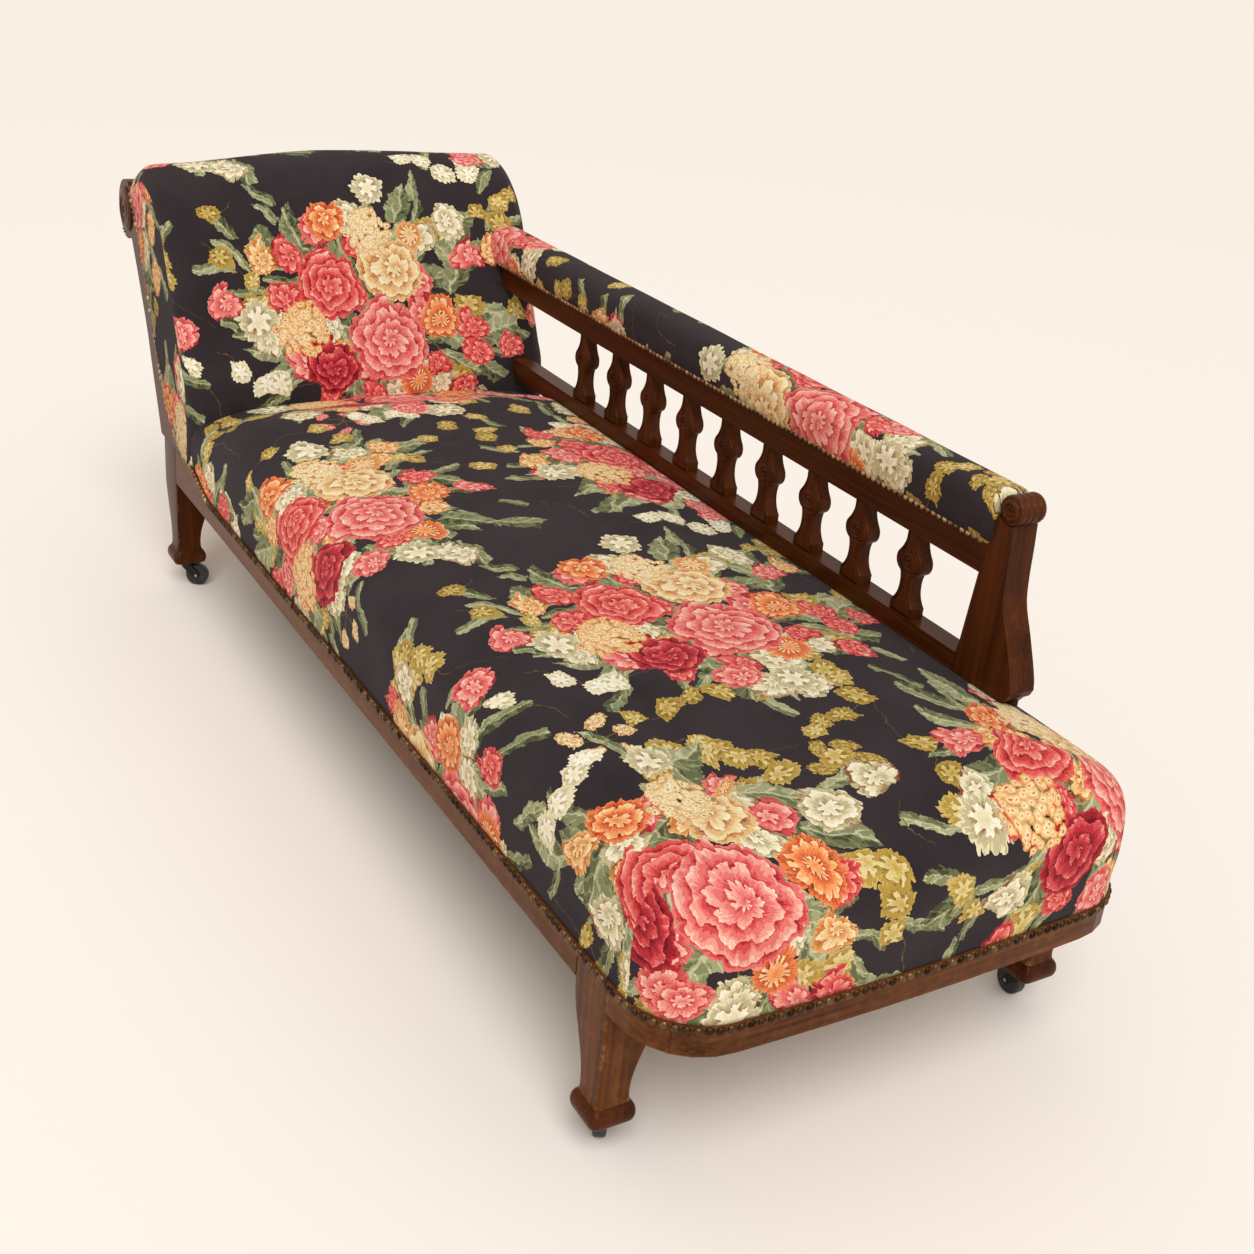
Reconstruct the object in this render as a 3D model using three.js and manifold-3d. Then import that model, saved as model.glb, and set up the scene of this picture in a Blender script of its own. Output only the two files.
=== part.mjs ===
// A fainting couch: a long stuffed seat on a walnut frame with a scrolled head end, and along
// the back a spindle gallery under a stuffed arm that ends in a shaped post. It stands on castors.
// Millimetres. +Z is up, +X runs from the head to the foot, -Y is the open front side.
// The origin is on the floor, under the middle of the couch's box.
import * as THREE from 'three';
import { mergeVertices } from 'three/addons/utils/BufferGeometryUtils.js';
import Module from 'manifold-3d';

const wasm = await Module();
wasm.setup();

// Overall plan
const couch_length = 1934;
const couch_width = 660;
const joint_gap = 0.3;
const soft_gap = 0.5;
const cut_overrun = 40;
const merge_distance = 0.0001;

// Legs: square, tapered on two sides, flared to a block foot
const foot_block_size = 52;
const foot_block_bottom = 46;
const foot_block_height = 16;
const foot_block_easing = 3;
const foot_flare_height = 23;
const leg_waist_size = 40;
const leg_top_size = 68;
const leg_face_inset = 6;

// Seat frame: rails with a rebate for the edge of the cloth
const rail_bottom = 195;
const rail_height = 67;
const rail_thickness = 35.7;
const rail_edge_chamfer = 5;
const rebate_depth = 5;
const rebate_height = 25;
const rebate_start_from_leg = 181;
const rebate_run_out = 80;
const foot_rail_reach = 108;
const foot_corner_radius = 92;
const foot_end_bow = 5;
const cross_rail_thickness = 34;
const foot_deck_thickness = 12;

// Seat filling
const seat_crown_height = 171;
const seat_head_overlap = 61;
const seat_head_dip = 42;
const seat_dip_length = 190;
const seat_face_inset = 2.4;
const spring_well_height = 36;
const spring_well_side_margin = 48;
const spring_well_start_from_leg = 141;
const spring_well_foot_margin = 8;
const webbing_thickness = 1.4;
const webbing_width = 50;
const webbing_clear_of_cover = 2;
const webbing_cross_count = 10;
const webbing_long_count = 3;
const dust_cover_thickness = 1.2;
const hessian_thickness = 1.2;
const spring_columns = 3;
const spring_end_radius = 38;
const spring_waist_radius = 25;
const spring_wire_radius = 2.4;
const spring_turns = 3.5;

// Head end
const head_crest_above_scroll = 117;
const head_pad_base_reach = 105;
const head_pad_edge_round = 35;
const head_pad_over_stile = 2;
const stile_thickness = 28;
const stile_foot_overhang = 16;
const scroll_radius = 50;
const scroll_overhang = 238;
const scroll_height = 612;
const scroll_boss_radius = 38;
const scroll_boss_relief = 2;
const scroll_eye_radius = 11;
const scroll_eye_relief = 1.5;
const scroll_bar_radius = 32;
const scroll_padding_inset = 3;
const head_bar_thickness = 26;
const head_bar_height = 50;
const head_bar_above_frame = 113;
const head_bar_behind_leg = 15;
const back_cover_thickness = 3;
const back_cover_inset = 4;

// Gallery
const gallery_thickness = 29;
const lower_rail_above_frame = 124;
const lower_rail_height = 32;
const baluster_room = 112;
const top_rail_height = 60;
const upright_width = 35;
const upright_from_leg_back = 18;
const baluster_count = 9;
const baluster_clear_of_pad = 254;
const baluster_clear_of_post = 112;
const baluster_thickness = 20;
const baluster_inset = 2;
const baluster_foot_half = 21.5;
const baluster_foot_edge = 1;
const baluster_foot_step = 14;
const baluster_waist_half = 10.2;
const baluster_waist_height = 42;
const baluster_lobe_out = 8;
const baluster_lobe_radius = 16;
const baluster_lobe_height = 71;
const baluster_neck_half = 11;
const baluster_neck_drop = 9;
const rosette_radius = 10;
const rosette_relief = 1.2;
const rosette_eye_radius = 4.5;
const rosette_eye_relief = 1.2;

// End post and its turned knob
const post_thickness = 38;
const post_above_rail_bottom = 10;
const post_stem_height = 180;
const post_stem_width = 55;
const post_from_foot_leg = 44;
const post_head_width = 100;
const post_head_back_step = 26;
const post_above_top_rail = 10;
const post_back_lean = 12;
const knob_radius = 18.5;
const knob_from_post_back = 43;
const knob_above_post = 20;
const knob_groove = 1.2;
const knob_boss_radius = 9;
const knob_boss_relief = 1.5;

// Stuffed arm
const arm_half_width = 35;
const arm_centre_from_front = 21;
const arm_below_rail_top = 25;
const arm_height = 71;
const arm_end_rounding = 10;
const arm_end_from_knob = 2;

// Castors
const wheel_radius = 19.5;
const wheel_width = 15;
const running_clearance = 0.08;
const wheel_edge_round = 3;
const axle_radius = 2.5;
const axle_proud = 0.8;
const castor_trail = 18;
const castor_plate_radius = 17;
const castor_plate_thickness = 2;
const pintle_radius = 4;
const pintle_height = 18;
const pintle_bore_depth = 20;
const horn_crown_thickness = 3.8;
const horn_crown_radius = 13;
const horn_cheek_thickness = 2.5;
const horn_cheek_half = 7;
const horn_eye_radius = 6;
const cheek_clearance = 0.4;
const foot_front_trail_degrees = 150;
const foot_back_trail_degrees = 180;
const head_front_trail_degrees = 57;
const head_back_trail_degrees = 200;

// Colours
const walnut = { color: 0x6b3f24, roughness: 0.42, metalness: 0 };
const beech = { color: 0xb98f5f, roughness: 0.8, metalness: 0 };
const print_cloth = { color: 0x3a3238, roughness: 0.92, metalness: 0 };
const jute = { color: 0x9c8157, roughness: 0.95, metalness: 0 };
const black_cloth = { color: 0x1c1a1a, roughness: 0.95, metalness: 0 };
const spring_steel = { color: 0x8a7a66, roughness: 0.45, metalness: 0.9 };
const black_iron = { color: 0x151414, roughness: 0.35, metalness: 0.6 };
const bright_steel = { color: 0xb8b4aa, roughness: 0.3, metalness: 1 };
const black_wheel = { color: 0x0f0e0e, roughness: 0.3, metalness: 0 };

// Places that follow from the sizes
const rail_top = rail_bottom + rail_height;
const rebate_z = rail_top - rebate_height;
const block_outer_y = couch_width / 2;
const side_face_y = block_outer_y - leg_face_inset;
const foot_end_x = couch_length / 2;
const scroll_back_x = -couch_length / 2;
const foot_leg_face_x = foot_end_x - foot_rail_reach;
const foot_leg_back_x = foot_leg_face_x - leg_top_size;
const head_leg_back_x = scroll_back_x + scroll_overhang;
const head_leg_face_x = head_leg_back_x + leg_top_size;
const between_legs_y = side_face_y - leg_top_size - joint_gap;
const scroll_centre_x = scroll_back_x + scroll_radius;
const head_pad_top = scroll_height + head_crest_above_scroll;
const head_bar_bottom = rail_top + head_bar_above_frame;
const stile_foot_back_x = head_leg_back_x - stile_foot_overhang;
const stile_inner_y = side_face_y - stile_thickness;
const stile_base_z = rail_top + joint_gap;
const seat_base_z = rail_top + soft_gap;
const head_base_x = head_leg_face_x + head_pad_base_reach;
const post_back_y = side_face_y - rail_thickness - joint_gap;
const gallery_front = post_back_y - post_thickness;
const gallery_back = gallery_front + gallery_thickness;
const lower_rail_bottom = rail_top + lower_rail_above_frame;
const top_rail_bottom = lower_rail_bottom + lower_rail_height + baluster_room;
const gallery_top = top_rail_bottom + top_rail_height;
const upright_x = head_leg_back_x + upright_from_leg_back;
const post_stem_foot_x = foot_leg_back_x - post_from_foot_leg;
const post_stem_bottom = rail_bottom + post_above_rail_bottom;
const post_head_bottom = post_stem_bottom + post_stem_height;
const post_head_height = gallery_top + post_above_top_rail - post_head_bottom;
const post_head_back_x = post_stem_foot_x - post_stem_width - post_head_back_step;
const knob_centre_x = post_head_back_x + knob_from_post_back;
const knob_centre_z = post_head_bottom + post_head_height + knob_above_post;
const first_baluster_x = head_base_x + baluster_clear_of_pad;
const last_baluster_x = post_head_back_x - baluster_clear_of_post;
const baluster_pitch = (last_baluster_x - first_baluster_x) / (baluster_count - 1);
const arm_centre_y = gallery_front + arm_centre_from_front;
const arm_bottom = gallery_top - arm_below_rail_top;
const arm_end_x = knob_centre_x - knob_radius - arm_end_from_knob;
const spring_well_half_width = post_back_y - spring_well_side_margin;

const couch = new THREE.Group();

// Adds one named piece to the couch.
function addPiece(name, geometry, finish) {
  const mesh = new THREE.Mesh(geometry, new THREE.MeshStandardMaterial(finish));
  mesh.name = name;
  couch.add(mesh);
}

// Turns a closed geometry into a solid that can be joined and cut.
function solidOf(geometry) {
  const bare = geometry.clone();
  bare.deleteAttribute('normal');
  bare.deleteAttribute('uv');
  const merged = mergeVertices(bare, merge_distance);
  return new wasm.Manifold(
    new wasm.Mesh({
      numProp: 3,
      vertProperties: new Float32Array(merged.attributes.position.array),
      triVerts: new Uint32Array(merged.index.array),
    }),
  );
}

// Turns a solid back into a geometry.
function geometryOf(solid) {
  const mesh = solid.getMesh();
  const geometry = new THREE.BufferGeometry();
  geometry.setAttribute('position', new THREE.BufferAttribute(new Float32Array(mesh.vertProperties), 3));
  geometry.setIndex(new THREE.BufferAttribute(new Uint32Array(mesh.triVerts), 1));
  geometry.computeVertexNormals();
  return geometry;
}

// Joins geometries into one solid, then cuts others away.
function joinAndCut(joined, cuts = []) {
  let solid = solidOf(joined[0]);
  for (const extra of joined.slice(1)) solid = solid.add(solidOf(extra));
  for (const cut of cuts) solid = solid.subtract(solidOf(cut));
  return geometryOf(solid);
}

// Builds a closed geometry, turned so that its triangles face out.
function facingOut(points, triangles) {
  let volume = 0;
  const cross = new THREE.Vector3();
  for (let i = 0; i < triangles.length; i += 3) {
    const [a, b, c] = [points[triangles[i]], points[triangles[i + 1]], points[triangles[i + 2]]];
    volume += a.dot(cross.crossVectors(b, c));
  }
  if (volume < 0) {
    for (let i = 0; i < triangles.length; i += 3) {
      [triangles[i + 1], triangles[i + 2]] = [triangles[i + 2], triangles[i + 1]];
    }
  }
  const geometry = new THREE.BufferGeometry().setFromPoints(points);
  geometry.setIndex(triangles);
  geometry.computeVertexNormals();
  return geometry;
}

// Joins two neighbouring rings of n points with a strip of triangles.
function stripBetween(triangles, lower, upper, n) {
  for (let i = 0; i < n; i++) {
    const j = (i + 1) % n;
    triangles.push(lower * n + i, lower * n + j, upper * n + j);
    triangles.push(lower * n + i, upper * n + j, upper * n + i);
  }
}

// Skins a stack of closed rings that have the same count of points, and caps both ends.
// flat names the two coordinates in which the caps are cut into triangles.
function skinRings(rings, flat) {
  const count = rings[0].length;
  const triangles = [];
  for (let r = 0; r + 1 < rings.length; r++) stripBetween(triangles, r, r + 1, count);
  const outlines = rings.map((ring) => ring.map((p) => new THREE.Vector2(p[flat[0]], p[flat[1]])));
  const clockwise = THREE.ShapeUtils.isClockWise(outlines[0]);
  for (const r of [0, rings.length - 1]) {
    const order = outlines[r].map((_, i) => (clockwise ? count - 1 - i : i));
    const faces = THREE.ShapeUtils.triangulateShape(order.map((i) => outlines[r][i]), []);
    const turned = clockwise ? r !== 0 : r === 0;
    for (const face of faces) {
      const [p, q, s] = face.map((i) => r * count + order[i]);
      if (turned) triangles.push(p, s, q);
      else triangles.push(p, q, s);
    }
  }
  return facingOut(rings.flat(), triangles);
}

// A plain block between two corners.
function block(x0, x1, y0, y1, z0, z1) {
  const geometry = new THREE.BoxGeometry(x1 - x0, y1 - y0, z1 - z0);
  geometry.translate((x0 + x1) / 2, (y0 + y1) / 2, (z0 + z1) / 2);
  return geometry;
}

// A board sawn to an outline in the XZ plane.
function sawnBoard(outline, y0, y1) {
  const ring = (y) => outline.map((p) => new THREE.Vector3(p.x, y, p.y));
  return skinRings([ring(y0), ring(y1)], ['x', 'z']);
}

// A board lying flat, sawn to an outline in the XY plane.
function flatBoard(outline, z0, z1) {
  const ring = (z) => outline.map((p) => new THREE.Vector3(p.x, p.y, z));
  return skinRings([ring(z0), ring(z1)], ['x', 'y']);
}

// A round bar along Y.
function roundBar(radius, x, z, y0, y1, sides = 24) {
  const geometry = new THREE.CylinderGeometry(radius, radius, y1 - y0, sides);
  geometry.translate(x, (y0 + y1) / 2, z);
  return geometry;
}

// A round bar that stands on end.
function standingBar(radius, x, y, z0, z1, sides = 24) {
  const geometry = new THREE.CylinderGeometry(radius, radius, z1 - z0, sides);
  geometry.rotateX(Math.PI / 2);
  geometry.translate(x, y, (z0 + z1) / 2);
  return geometry;
}

// Moves a curve's points sideways; a closed outline grows with a positive distance.
function offsetCurve(points, distance, closed = true) {
  const turn = closed && THREE.ShapeUtils.isClockWise(points) ? -1 : 1;
  const last = points.length - 1;
  return points.map((p, i) => {
    const before = points[i > 0 ? i - 1 : closed ? last : 0];
    const after = points[i < last ? i + 1 : closed ? 0 : last];
    const along = after.clone().sub(before).normalize();
    return new THREE.Vector2(p.x + along.y * turn * distance, p.y - along.x * turn * distance);
  });
}

// Evenly spaced points on a smooth curve through the given ones.
function curveThrough(points, steps) {
  return new THREE.SplineCurve(points).getSpacedPoints(steps);
}

// An angle given in degrees.
function degrees(angle) {
  return (angle / 180) * Math.PI;
}

// Goes from 0 to 1 with a slow start and a slow end.
function eased(t) {
  const kept = Math.min(1, Math.max(0, t));
  return kept * kept * (3 - 2 * kept);
}

// Points on an arc in the plane, the angles in degrees.
function arcPoints(x, z, radius, from, to, steps) {
  const points = [];
  for (let i = 0; i <= steps; i++) {
    const angle = degrees(from + ((to - from) * i) / steps);
    points.push(new THREE.Vector2(x + radius * Math.cos(angle), z + radius * Math.sin(angle)));
  }
  return points;
}

// Seat plan

const least_corner_share = 1 / 6;
const widest_corner_share = 0.9;

// Points round the foot end, at a distance inside the rails' outer faces, with outward normals.
// The reach is the angle taken in at each corner: a right angle goes right round to the sides.
function footEndPath(inset, reach, corner_steps = 6, bow_steps = 8) {
  const least_radius = foot_corner_radius * least_corner_share;
  const room = (side_face_y - inset) * widest_corner_share;
  const radius = Math.min(Math.max(foot_corner_radius - inset, least_radius), room);
  const centre_x = foot_end_x - foot_end_bow - inset - radius;
  const centre_y = side_face_y - inset - radius;
  const corner = (side) => {
    const points = [];
    for (let i = 0; i <= corner_steps; i++) {
      const angle = degrees((reach * i) / corner_steps);
      const normal = new THREE.Vector2(Math.cos(angle), side * Math.sin(angle));
      points.push({ x: centre_x + radius * normal.x, y: side * centre_y + radius * normal.y, normal });
    }
    return points;
  };
  const bowed = [];
  for (let i = 1; i < bow_steps; i++) {
    const across = -1 + (2 * i) / bow_steps;
    const normal = new THREE.Vector2(1, (2 * foot_end_bow * across) / centre_y).normalize();
    bowed.push({ x: centre_x + radius + foot_end_bow * (1 - across * across), y: centre_y * across, normal });
  }
  return [...corner(-1).reverse(), ...bowed, ...corner(1)];
}

// The seat's whole plan from the head end, as flat points. The sides have a point at each share
// of their length.
function seatPlan(inset, from_x, side_shares = [0]) {
  const foot = footEndPath(inset, 90).map((p) => new THREE.Vector2(p.x, p.y));
  const side_y = side_face_y - inset;
  const front = [];
  const back = [];
  for (const share of side_shares) {
    const x = from_x + (foot[0].x - from_x) * share;
    front.push(new THREE.Vector2(x, -side_y));
    back.push(new THREE.Vector2(x, side_y));
  }
  return [...front, ...foot, ...back.reverse()];
}

// Legs

// Side length of the leg, and how far its outer faces lie behind the block's, at a height.
function legSizeAt(z) {
  const ledge = foot_block_bottom + foot_block_height;
  const waist = ledge + foot_flare_height;
  if (z <= waist) {
    const down = Math.min(1, (waist - z) / foot_flare_height);
    const kept = 1 - Math.sqrt(1 - down * down);
    return {
      size: leg_waist_size + (foot_block_size - leg_waist_size) * kept,
      inset: leg_face_inset * (1 - kept),
    };
  }
  const taper = eased((z - waist) / (rail_bottom - waist));
  return { size: leg_waist_size + (leg_top_size - leg_waist_size) * taper, inset: leg_face_inset };
}

// One leg. Its two straight faces look to the foot end and to its own side, -1 front or 1 back.
function legGeometry(face_x, side, rebated) {
  const ledge = foot_block_bottom + foot_block_height;
  const waist = ledge + foot_flare_height;
  const block_face_x = face_x + leg_face_inset;
  const flare_steps = 4;
  const taper_steps = 7;
  const square = (z, size, inset, y_inset = inset) => {
    const x1 = block_face_x - inset;
    const y1 = side * (block_outer_y - y_inset);
    const y0 = side * (block_outer_y - inset - size);
    const corners = [[x1, y1], [x1, y0], [x1 - size, y0], [x1 - size, y1]];
    return corners.map(([x, y]) => new THREE.Vector3(x, y, z));
  };
  const shaft = (z, y_inset) => {
    const { size, inset } = legSizeAt(z);
    return square(z, size, inset, y_inset);
  };
  const rings = [
    square(foot_block_bottom, foot_block_size - 2 * foot_block_easing, foot_block_easing),
    shaft(foot_block_bottom + foot_block_easing),
  ];
  for (let i = 0; i <= flare_steps; i++) {
    rings.push(shaft(ledge + foot_flare_height * (i / flare_steps) ** 2));
  }
  for (let i = 1; i <= taper_steps; i++) {
    rings.push(shaft(waist + ((rail_bottom - waist) * i) / taper_steps));
  }
  if (rebated) {
    rings.push(shaft(rebate_z));
    rings.push(shaft(rebate_z, leg_face_inset + rebate_depth));
  }
  rings.push(shaft(rail_top, leg_face_inset + (rebated ? rebate_depth : 0)));
  const centre_x = block_face_x - foot_block_size / 2;
  const centre_y = side * (block_outer_y - foot_block_size / 2);
  const bore = standingBar(
    pintle_radius + running_clearance, centre_x, centre_y,
    foot_block_bottom - joint_gap, foot_block_bottom + pintle_bore_depth, 20,
  );
  return joinAndCut([skinRings(rings, ['x', 'y'])], [bore]);
}

function addLegs() {
  addPiece('leg_foot_front', legGeometry(foot_leg_face_x, -1, true), walnut);
  addPiece('leg_foot_back', legGeometry(foot_leg_face_x, 1, true), walnut);
  addPiece('leg_head_front', legGeometry(head_leg_face_x, -1, false), walnut);
  addPiece('leg_head_back', legGeometry(head_leg_face_x, 1, false), walnut);
}

// Seat frame

// Sweeps the rail's section along a path. Each point may give the height where its rebate starts.
function railAlong(path) {
  const rings = path.map(({ x, y, normal, rebate_from = rebate_z }) => {
    const section = [
      [rail_thickness, rail_bottom],
      [rail_edge_chamfer, rail_bottom],
      [0, rail_bottom + rail_edge_chamfer],
      [0, rebate_from],
      [rebate_depth, rebate_from],
      [rebate_depth, rail_top],
      [rail_thickness, rail_top],
    ];
    return section.map(([inward, z]) => new THREE.Vector3(x - normal.x * inward, y - normal.y * inward, z));
  });
  const count = rings[0].length;
  const triangles = [];
  for (let r = 0; r + 1 < rings.length; r++) stripBetween(triangles, r, r + 1, count);
  const last = (rings.length - 1) * count;
  for (const [a, b, c] of [[0, 1, 4], [1, 2, 3], [1, 3, 4], [0, 4, 5], [0, 5, 6]]) {
    triangles.push(a, c, b);
    triangles.push(last + a, last + b, last + c);
  }
  return facingOut(rings.flat(), triangles);
}

// A straight side rail; near the head its face keeps the full height.
function sideRail(side) {
  const rebate_x = head_leg_face_x + rebate_start_from_leg;
  const full_height = rail_top - joint_gap;
  const stations = [
    [head_leg_face_x + joint_gap, full_height],
    [rebate_x - rebate_run_out, full_height],
    [rebate_x, rebate_z],
    [foot_leg_back_x - joint_gap, rebate_z],
  ];
  const normal = new THREE.Vector2(0, side);
  return railAlong(stations.map(([x, rebate_from]) => ({ x, y: side * side_face_y, normal, rebate_from })));
}

// The eighth of a turn of the foot end's curve between a leg and the end rail.
function footCornerRail(side) {
  const round = footEndPath(0, 90);
  const points = 4;
  const start = { x: foot_leg_face_x + joint_gap, y: side * side_face_y, normal: new THREE.Vector2(0, side) };
  return railAlong(side < 0 ? [start, ...round.slice(0, points)] : [...round.slice(-points), start]);
}

function addSeatFrame() {
  addPiece('front_seat_rail', sideRail(-1), walnut);
  addPiece('back_seat_rail', sideRail(1), walnut);
  addPiece('foot_rail_corner_front', footCornerRail(-1), walnut);
  addPiece('foot_rail_corner_back', footCornerRail(1), walnut);
  const gap_degrees = (joint_gap / (foot_corner_radius - rail_thickness) / Math.PI) * 180;
  addPiece('foot_rail_middle', railAlong(footEndPath(0, 45 - gap_degrees, 3)), walnut);
  const crossRail = (x) =>
    block(x, x + cross_rail_thickness, -between_legs_y, between_legs_y, rail_bottom, rail_top);
  addPiece('head_seat_rail', crossRail(head_leg_back_x), walnut);
  addPiece('foot_cross_rail', crossRail(foot_leg_back_x), beech);
  const deck_x = foot_leg_back_x + cross_rail_thickness + joint_gap;
  const deck_bottom = rail_top - foot_deck_thickness;
  const beyond_x = foot_leg_face_x + joint_gap;
  const beyond = flatBoard(seatPlan(rail_thickness + joint_gap, beyond_x), deck_bottom, rail_top);
  const tongue = block(deck_x, beyond_x + joint_gap, -between_legs_y, between_legs_y, deck_bottom, rail_top);
  addPiece('foot_deck', joinAndCut([beyond, tongue]), beech);
}

// Head end

// Places on the stile's edges as shares: along from the foot's back to the scroll's back, and
// up from the stile's foot to the scroll's centre.
const stile_back_shares = [[0, 0], [0.08, 0.13], [0.19, 0.29], [0.3, 0.47], [0.41, 0.6], [0.52, 0.725]];
const stile_front_shares = [
  [-0.65, 0.014],
  [-0.58, 0.018],
  [-0.32, 0.09],
  [-0.158, 0.203],
  [-0.045, 0.334],
  [0.117, 0.506],
  [0.198, 0.64],
  [0.311, 0.769],
  [0.446, 0.92],
  [0.52, 1.01],
  [0.63, 1.07],
];
const scroll_start_degrees = 75;
const scroll_end_degrees = 300;
const pad_roll_end_degrees = 320;

// A place on the stile from its two shares.
function stilePlace([along, up]) {
  const x = stile_foot_back_x + (scroll_back_x - stile_foot_back_x) * along;
  return new THREE.Vector2(x, stile_base_z + (scroll_height - stile_base_z) * up);
}

// The stile's back edge, from its foot up to the scroll.
function stileBackEdge() {
  const [meets] = arcPoints(
    scroll_centre_x, scroll_height, scroll_radius, scroll_end_degrees, scroll_end_degrees, 1,
  );
  return curveThrough([...stile_back_shares.map(stilePlace), meets], 12);
}

function stileOutline() {
  const arc = arcPoints(
    scroll_centre_x, scroll_height, scroll_radius, scroll_start_degrees, scroll_end_degrees, 30,
  );
  const front = curveThrough([...stile_front_shares.map(stilePlace), arc[0]], 26);
  const toe_foot = new THREE.Vector2(front[0].x, stile_base_z);
  return [toe_foot, ...front, ...arc.slice(1), ...stileBackEdge().reverse().slice(1)];
}

// One scrolled stile with a turned boss on the scroll's outer face.
function stileGeometry(side) {
  const between = (outer, inner) => [side * outer, side * inner].sort((a, b) => a - b);
  const raised = (radius, relief) => {
    const [y0, y1] = between(side_face_y + relief, side_face_y - scroll_boss_relief);
    return roundBar(radius, scroll_centre_x, scroll_height, y0, y1, 28);
  };
  const board = sawnBoard(stileOutline(), ...between(side_face_y, stile_inner_y));
  const boss = raised(scroll_boss_radius, scroll_boss_relief);
  const eye = raised(scroll_eye_radius, scroll_boss_relief + scroll_eye_relief);
  return joinAndCut([board, boss, eye]);
}

// The room that a stile takes out of the stuffing.
function stileRoom(side) {
  const ends = [side * (side_face_y + cut_overrun), side * (stile_inner_y - soft_gap)];
  return sawnBoard(offsetCurve(stileOutline(), soft_gap), Math.min(...ends), Math.max(...ends));
}

// The head pad's front and crest as shares of its reach and rise, from the seat up and over.
const head_front_shares = [
  [0, 0],
  [0.012, 0.1],
  [0.012, 0.21],
  [-0.006, 0.315],
  [-0.06, 0.39],
  [-0.115, 0.48],
  [-0.19, 0.605],
  [-0.268, 0.735],
  [-0.315, 0.81],
  [-0.4, 0.897],
  [-0.525, 0.966],
  [-0.67, 0.998],
  [-0.79, 0.982],
  [-0.9, 0.93],
  [-0.965, 0.885],
];
const head_inner_shares = [[-0.9, 0.65], [-0.8, 0.575], [-0.66, 0.38], [-0.51, 0.15], [-0.49, 0]];

// The head pad's side outline. drop pulls the front and crest in, and a negative drop swells them.
function headPadOutline(drop, floor_z) {
  const reach = head_base_x - scroll_centre_x;
  const rise = head_pad_top - seat_base_z;
  const place = ([along, up]) => new THREE.Vector2(head_base_x + reach * along, seat_base_z + rise * up);
  const front = curveThrough(head_front_shares.map(place), 24);
  const pulled = offsetCurve(front, -drop, false);
  const radius = scroll_radius - scroll_padding_inset;
  const roll = arcPoints(scroll_centre_x, scroll_height, radius, 90, pad_roll_end_degrees, 12);
  const inner = head_inner_shares.map(place);
  pulled[0].y = floor_z;
  inner[inner.length - 1].y = floor_z;
  return [...pulled, ...roll, ...inner];
}

// The whole head pad, grown by a distance, before the frame is taken out of it.
function headPadForm(grow = 0) {
  const half_width = side_face_y + head_pad_over_stile;
  const floor_z = grow > 0 ? rail_bottom : seat_base_z;
  const edge_shares = [0, 0.12, 0.3, 0.6, 1];
  const middle_shares = [0.6, 0.3];
  const sides = [
    ...edge_shares.map((share) => half_width - head_pad_edge_round * share),
    ...middle_shares.map((share) => half_width * share),
  ];
  const ys = [...sides, 0, ...sides.map((y) => -y).reverse()];
  const rings = ys.map((y) => {
    const edge = Math.max(0, Math.abs(y) - (half_width - head_pad_edge_round));
    const rounded = head_pad_edge_round - Math.sqrt(head_pad_edge_round ** 2 - edge ** 2);
    const swollen = y * (1 + grow / half_width);
    return headPadOutline(rounded - grow, floor_z).map((p) => new THREE.Vector3(p.x, swollen, p.y));
  });
  return skinRings(rings, ['x', 'z']);
}

// The bars between the stiles: a round one in the scroll and a flat one at half height.
function scrollBar(grow) {
  const y = stile_inner_y - joint_gap + grow;
  return roundBar(scroll_bar_radius + grow, scroll_centre_x, scroll_height, -y, y, 28);
}

function headBar(grow) {
  const x1 = head_leg_back_x - head_bar_behind_leg + grow;
  const x0 = x1 - head_bar_thickness - 2 * grow;
  const y = stile_inner_y - joint_gap + grow;
  return block(x0, x1, -y, y, head_bar_bottom - grow, head_bar_bottom + head_bar_height + grow);
}

function addHeadEnd() {
  addPiece('head_stile_front', stileGeometry(-1), walnut);
  addPiece('head_stile_back', stileGeometry(1), walnut);
  addPiece('head_scroll_bar', scrollBar(0), beech);
  addPiece('head_middle_bar', headBar(0), beech);
  const edge = stileBackEdge();
  const outer = offsetCurve(edge, back_cover_inset, false);
  const inner = offsetCurve(edge, back_cover_inset + back_cover_thickness, false);
  const cover_y = stile_inner_y - joint_gap;
  addPiece('head_back_cover', sawnBoard([...outer, ...inner.reverse()], -cover_y, cover_y), print_cloth);
  const cuts = [
    stileRoom(-1), stileRoom(1), scrollBar(soft_gap), headBar(soft_gap),
    galleryUpright(soft_gap), lowerRail(soft_gap), topRail(soft_gap),
  ];
  addPiece('head_pad', joinAndCut([headPadForm()], cuts), print_cloth);
}

// Gallery

function galleryUpright(grow) {
  const y0 = gallery_front - grow;
  const y1 = post_back_y + grow;
  const bottom = rail_top + joint_gap - grow;
  return block(upright_x - grow, upright_x + upright_width + grow, y0, y1, bottom, gallery_top + grow);
}

// A gallery rail from the upright to the end post.
function galleryRail(bottom, height, end_x, grow) {
  const x0 = upright_x + upright_width + joint_gap;
  const y0 = gallery_front - grow;
  return block(x0, end_x + grow, y0, gallery_back + grow, bottom - grow, bottom + height + grow);
}

function lowerRail(grow) {
  return galleryRail(lower_rail_bottom, lower_rail_height, post_head_back_x - joint_gap, grow);
}

function topRail(grow) {
  const end_x = post_head_back_x + post_back_lean + upright_width / 2;
  return galleryRail(top_rail_bottom, top_rail_height, end_x, grow);
}

const lobe_from_degrees = -72;
const lobe_to_degrees = 44;

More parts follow.
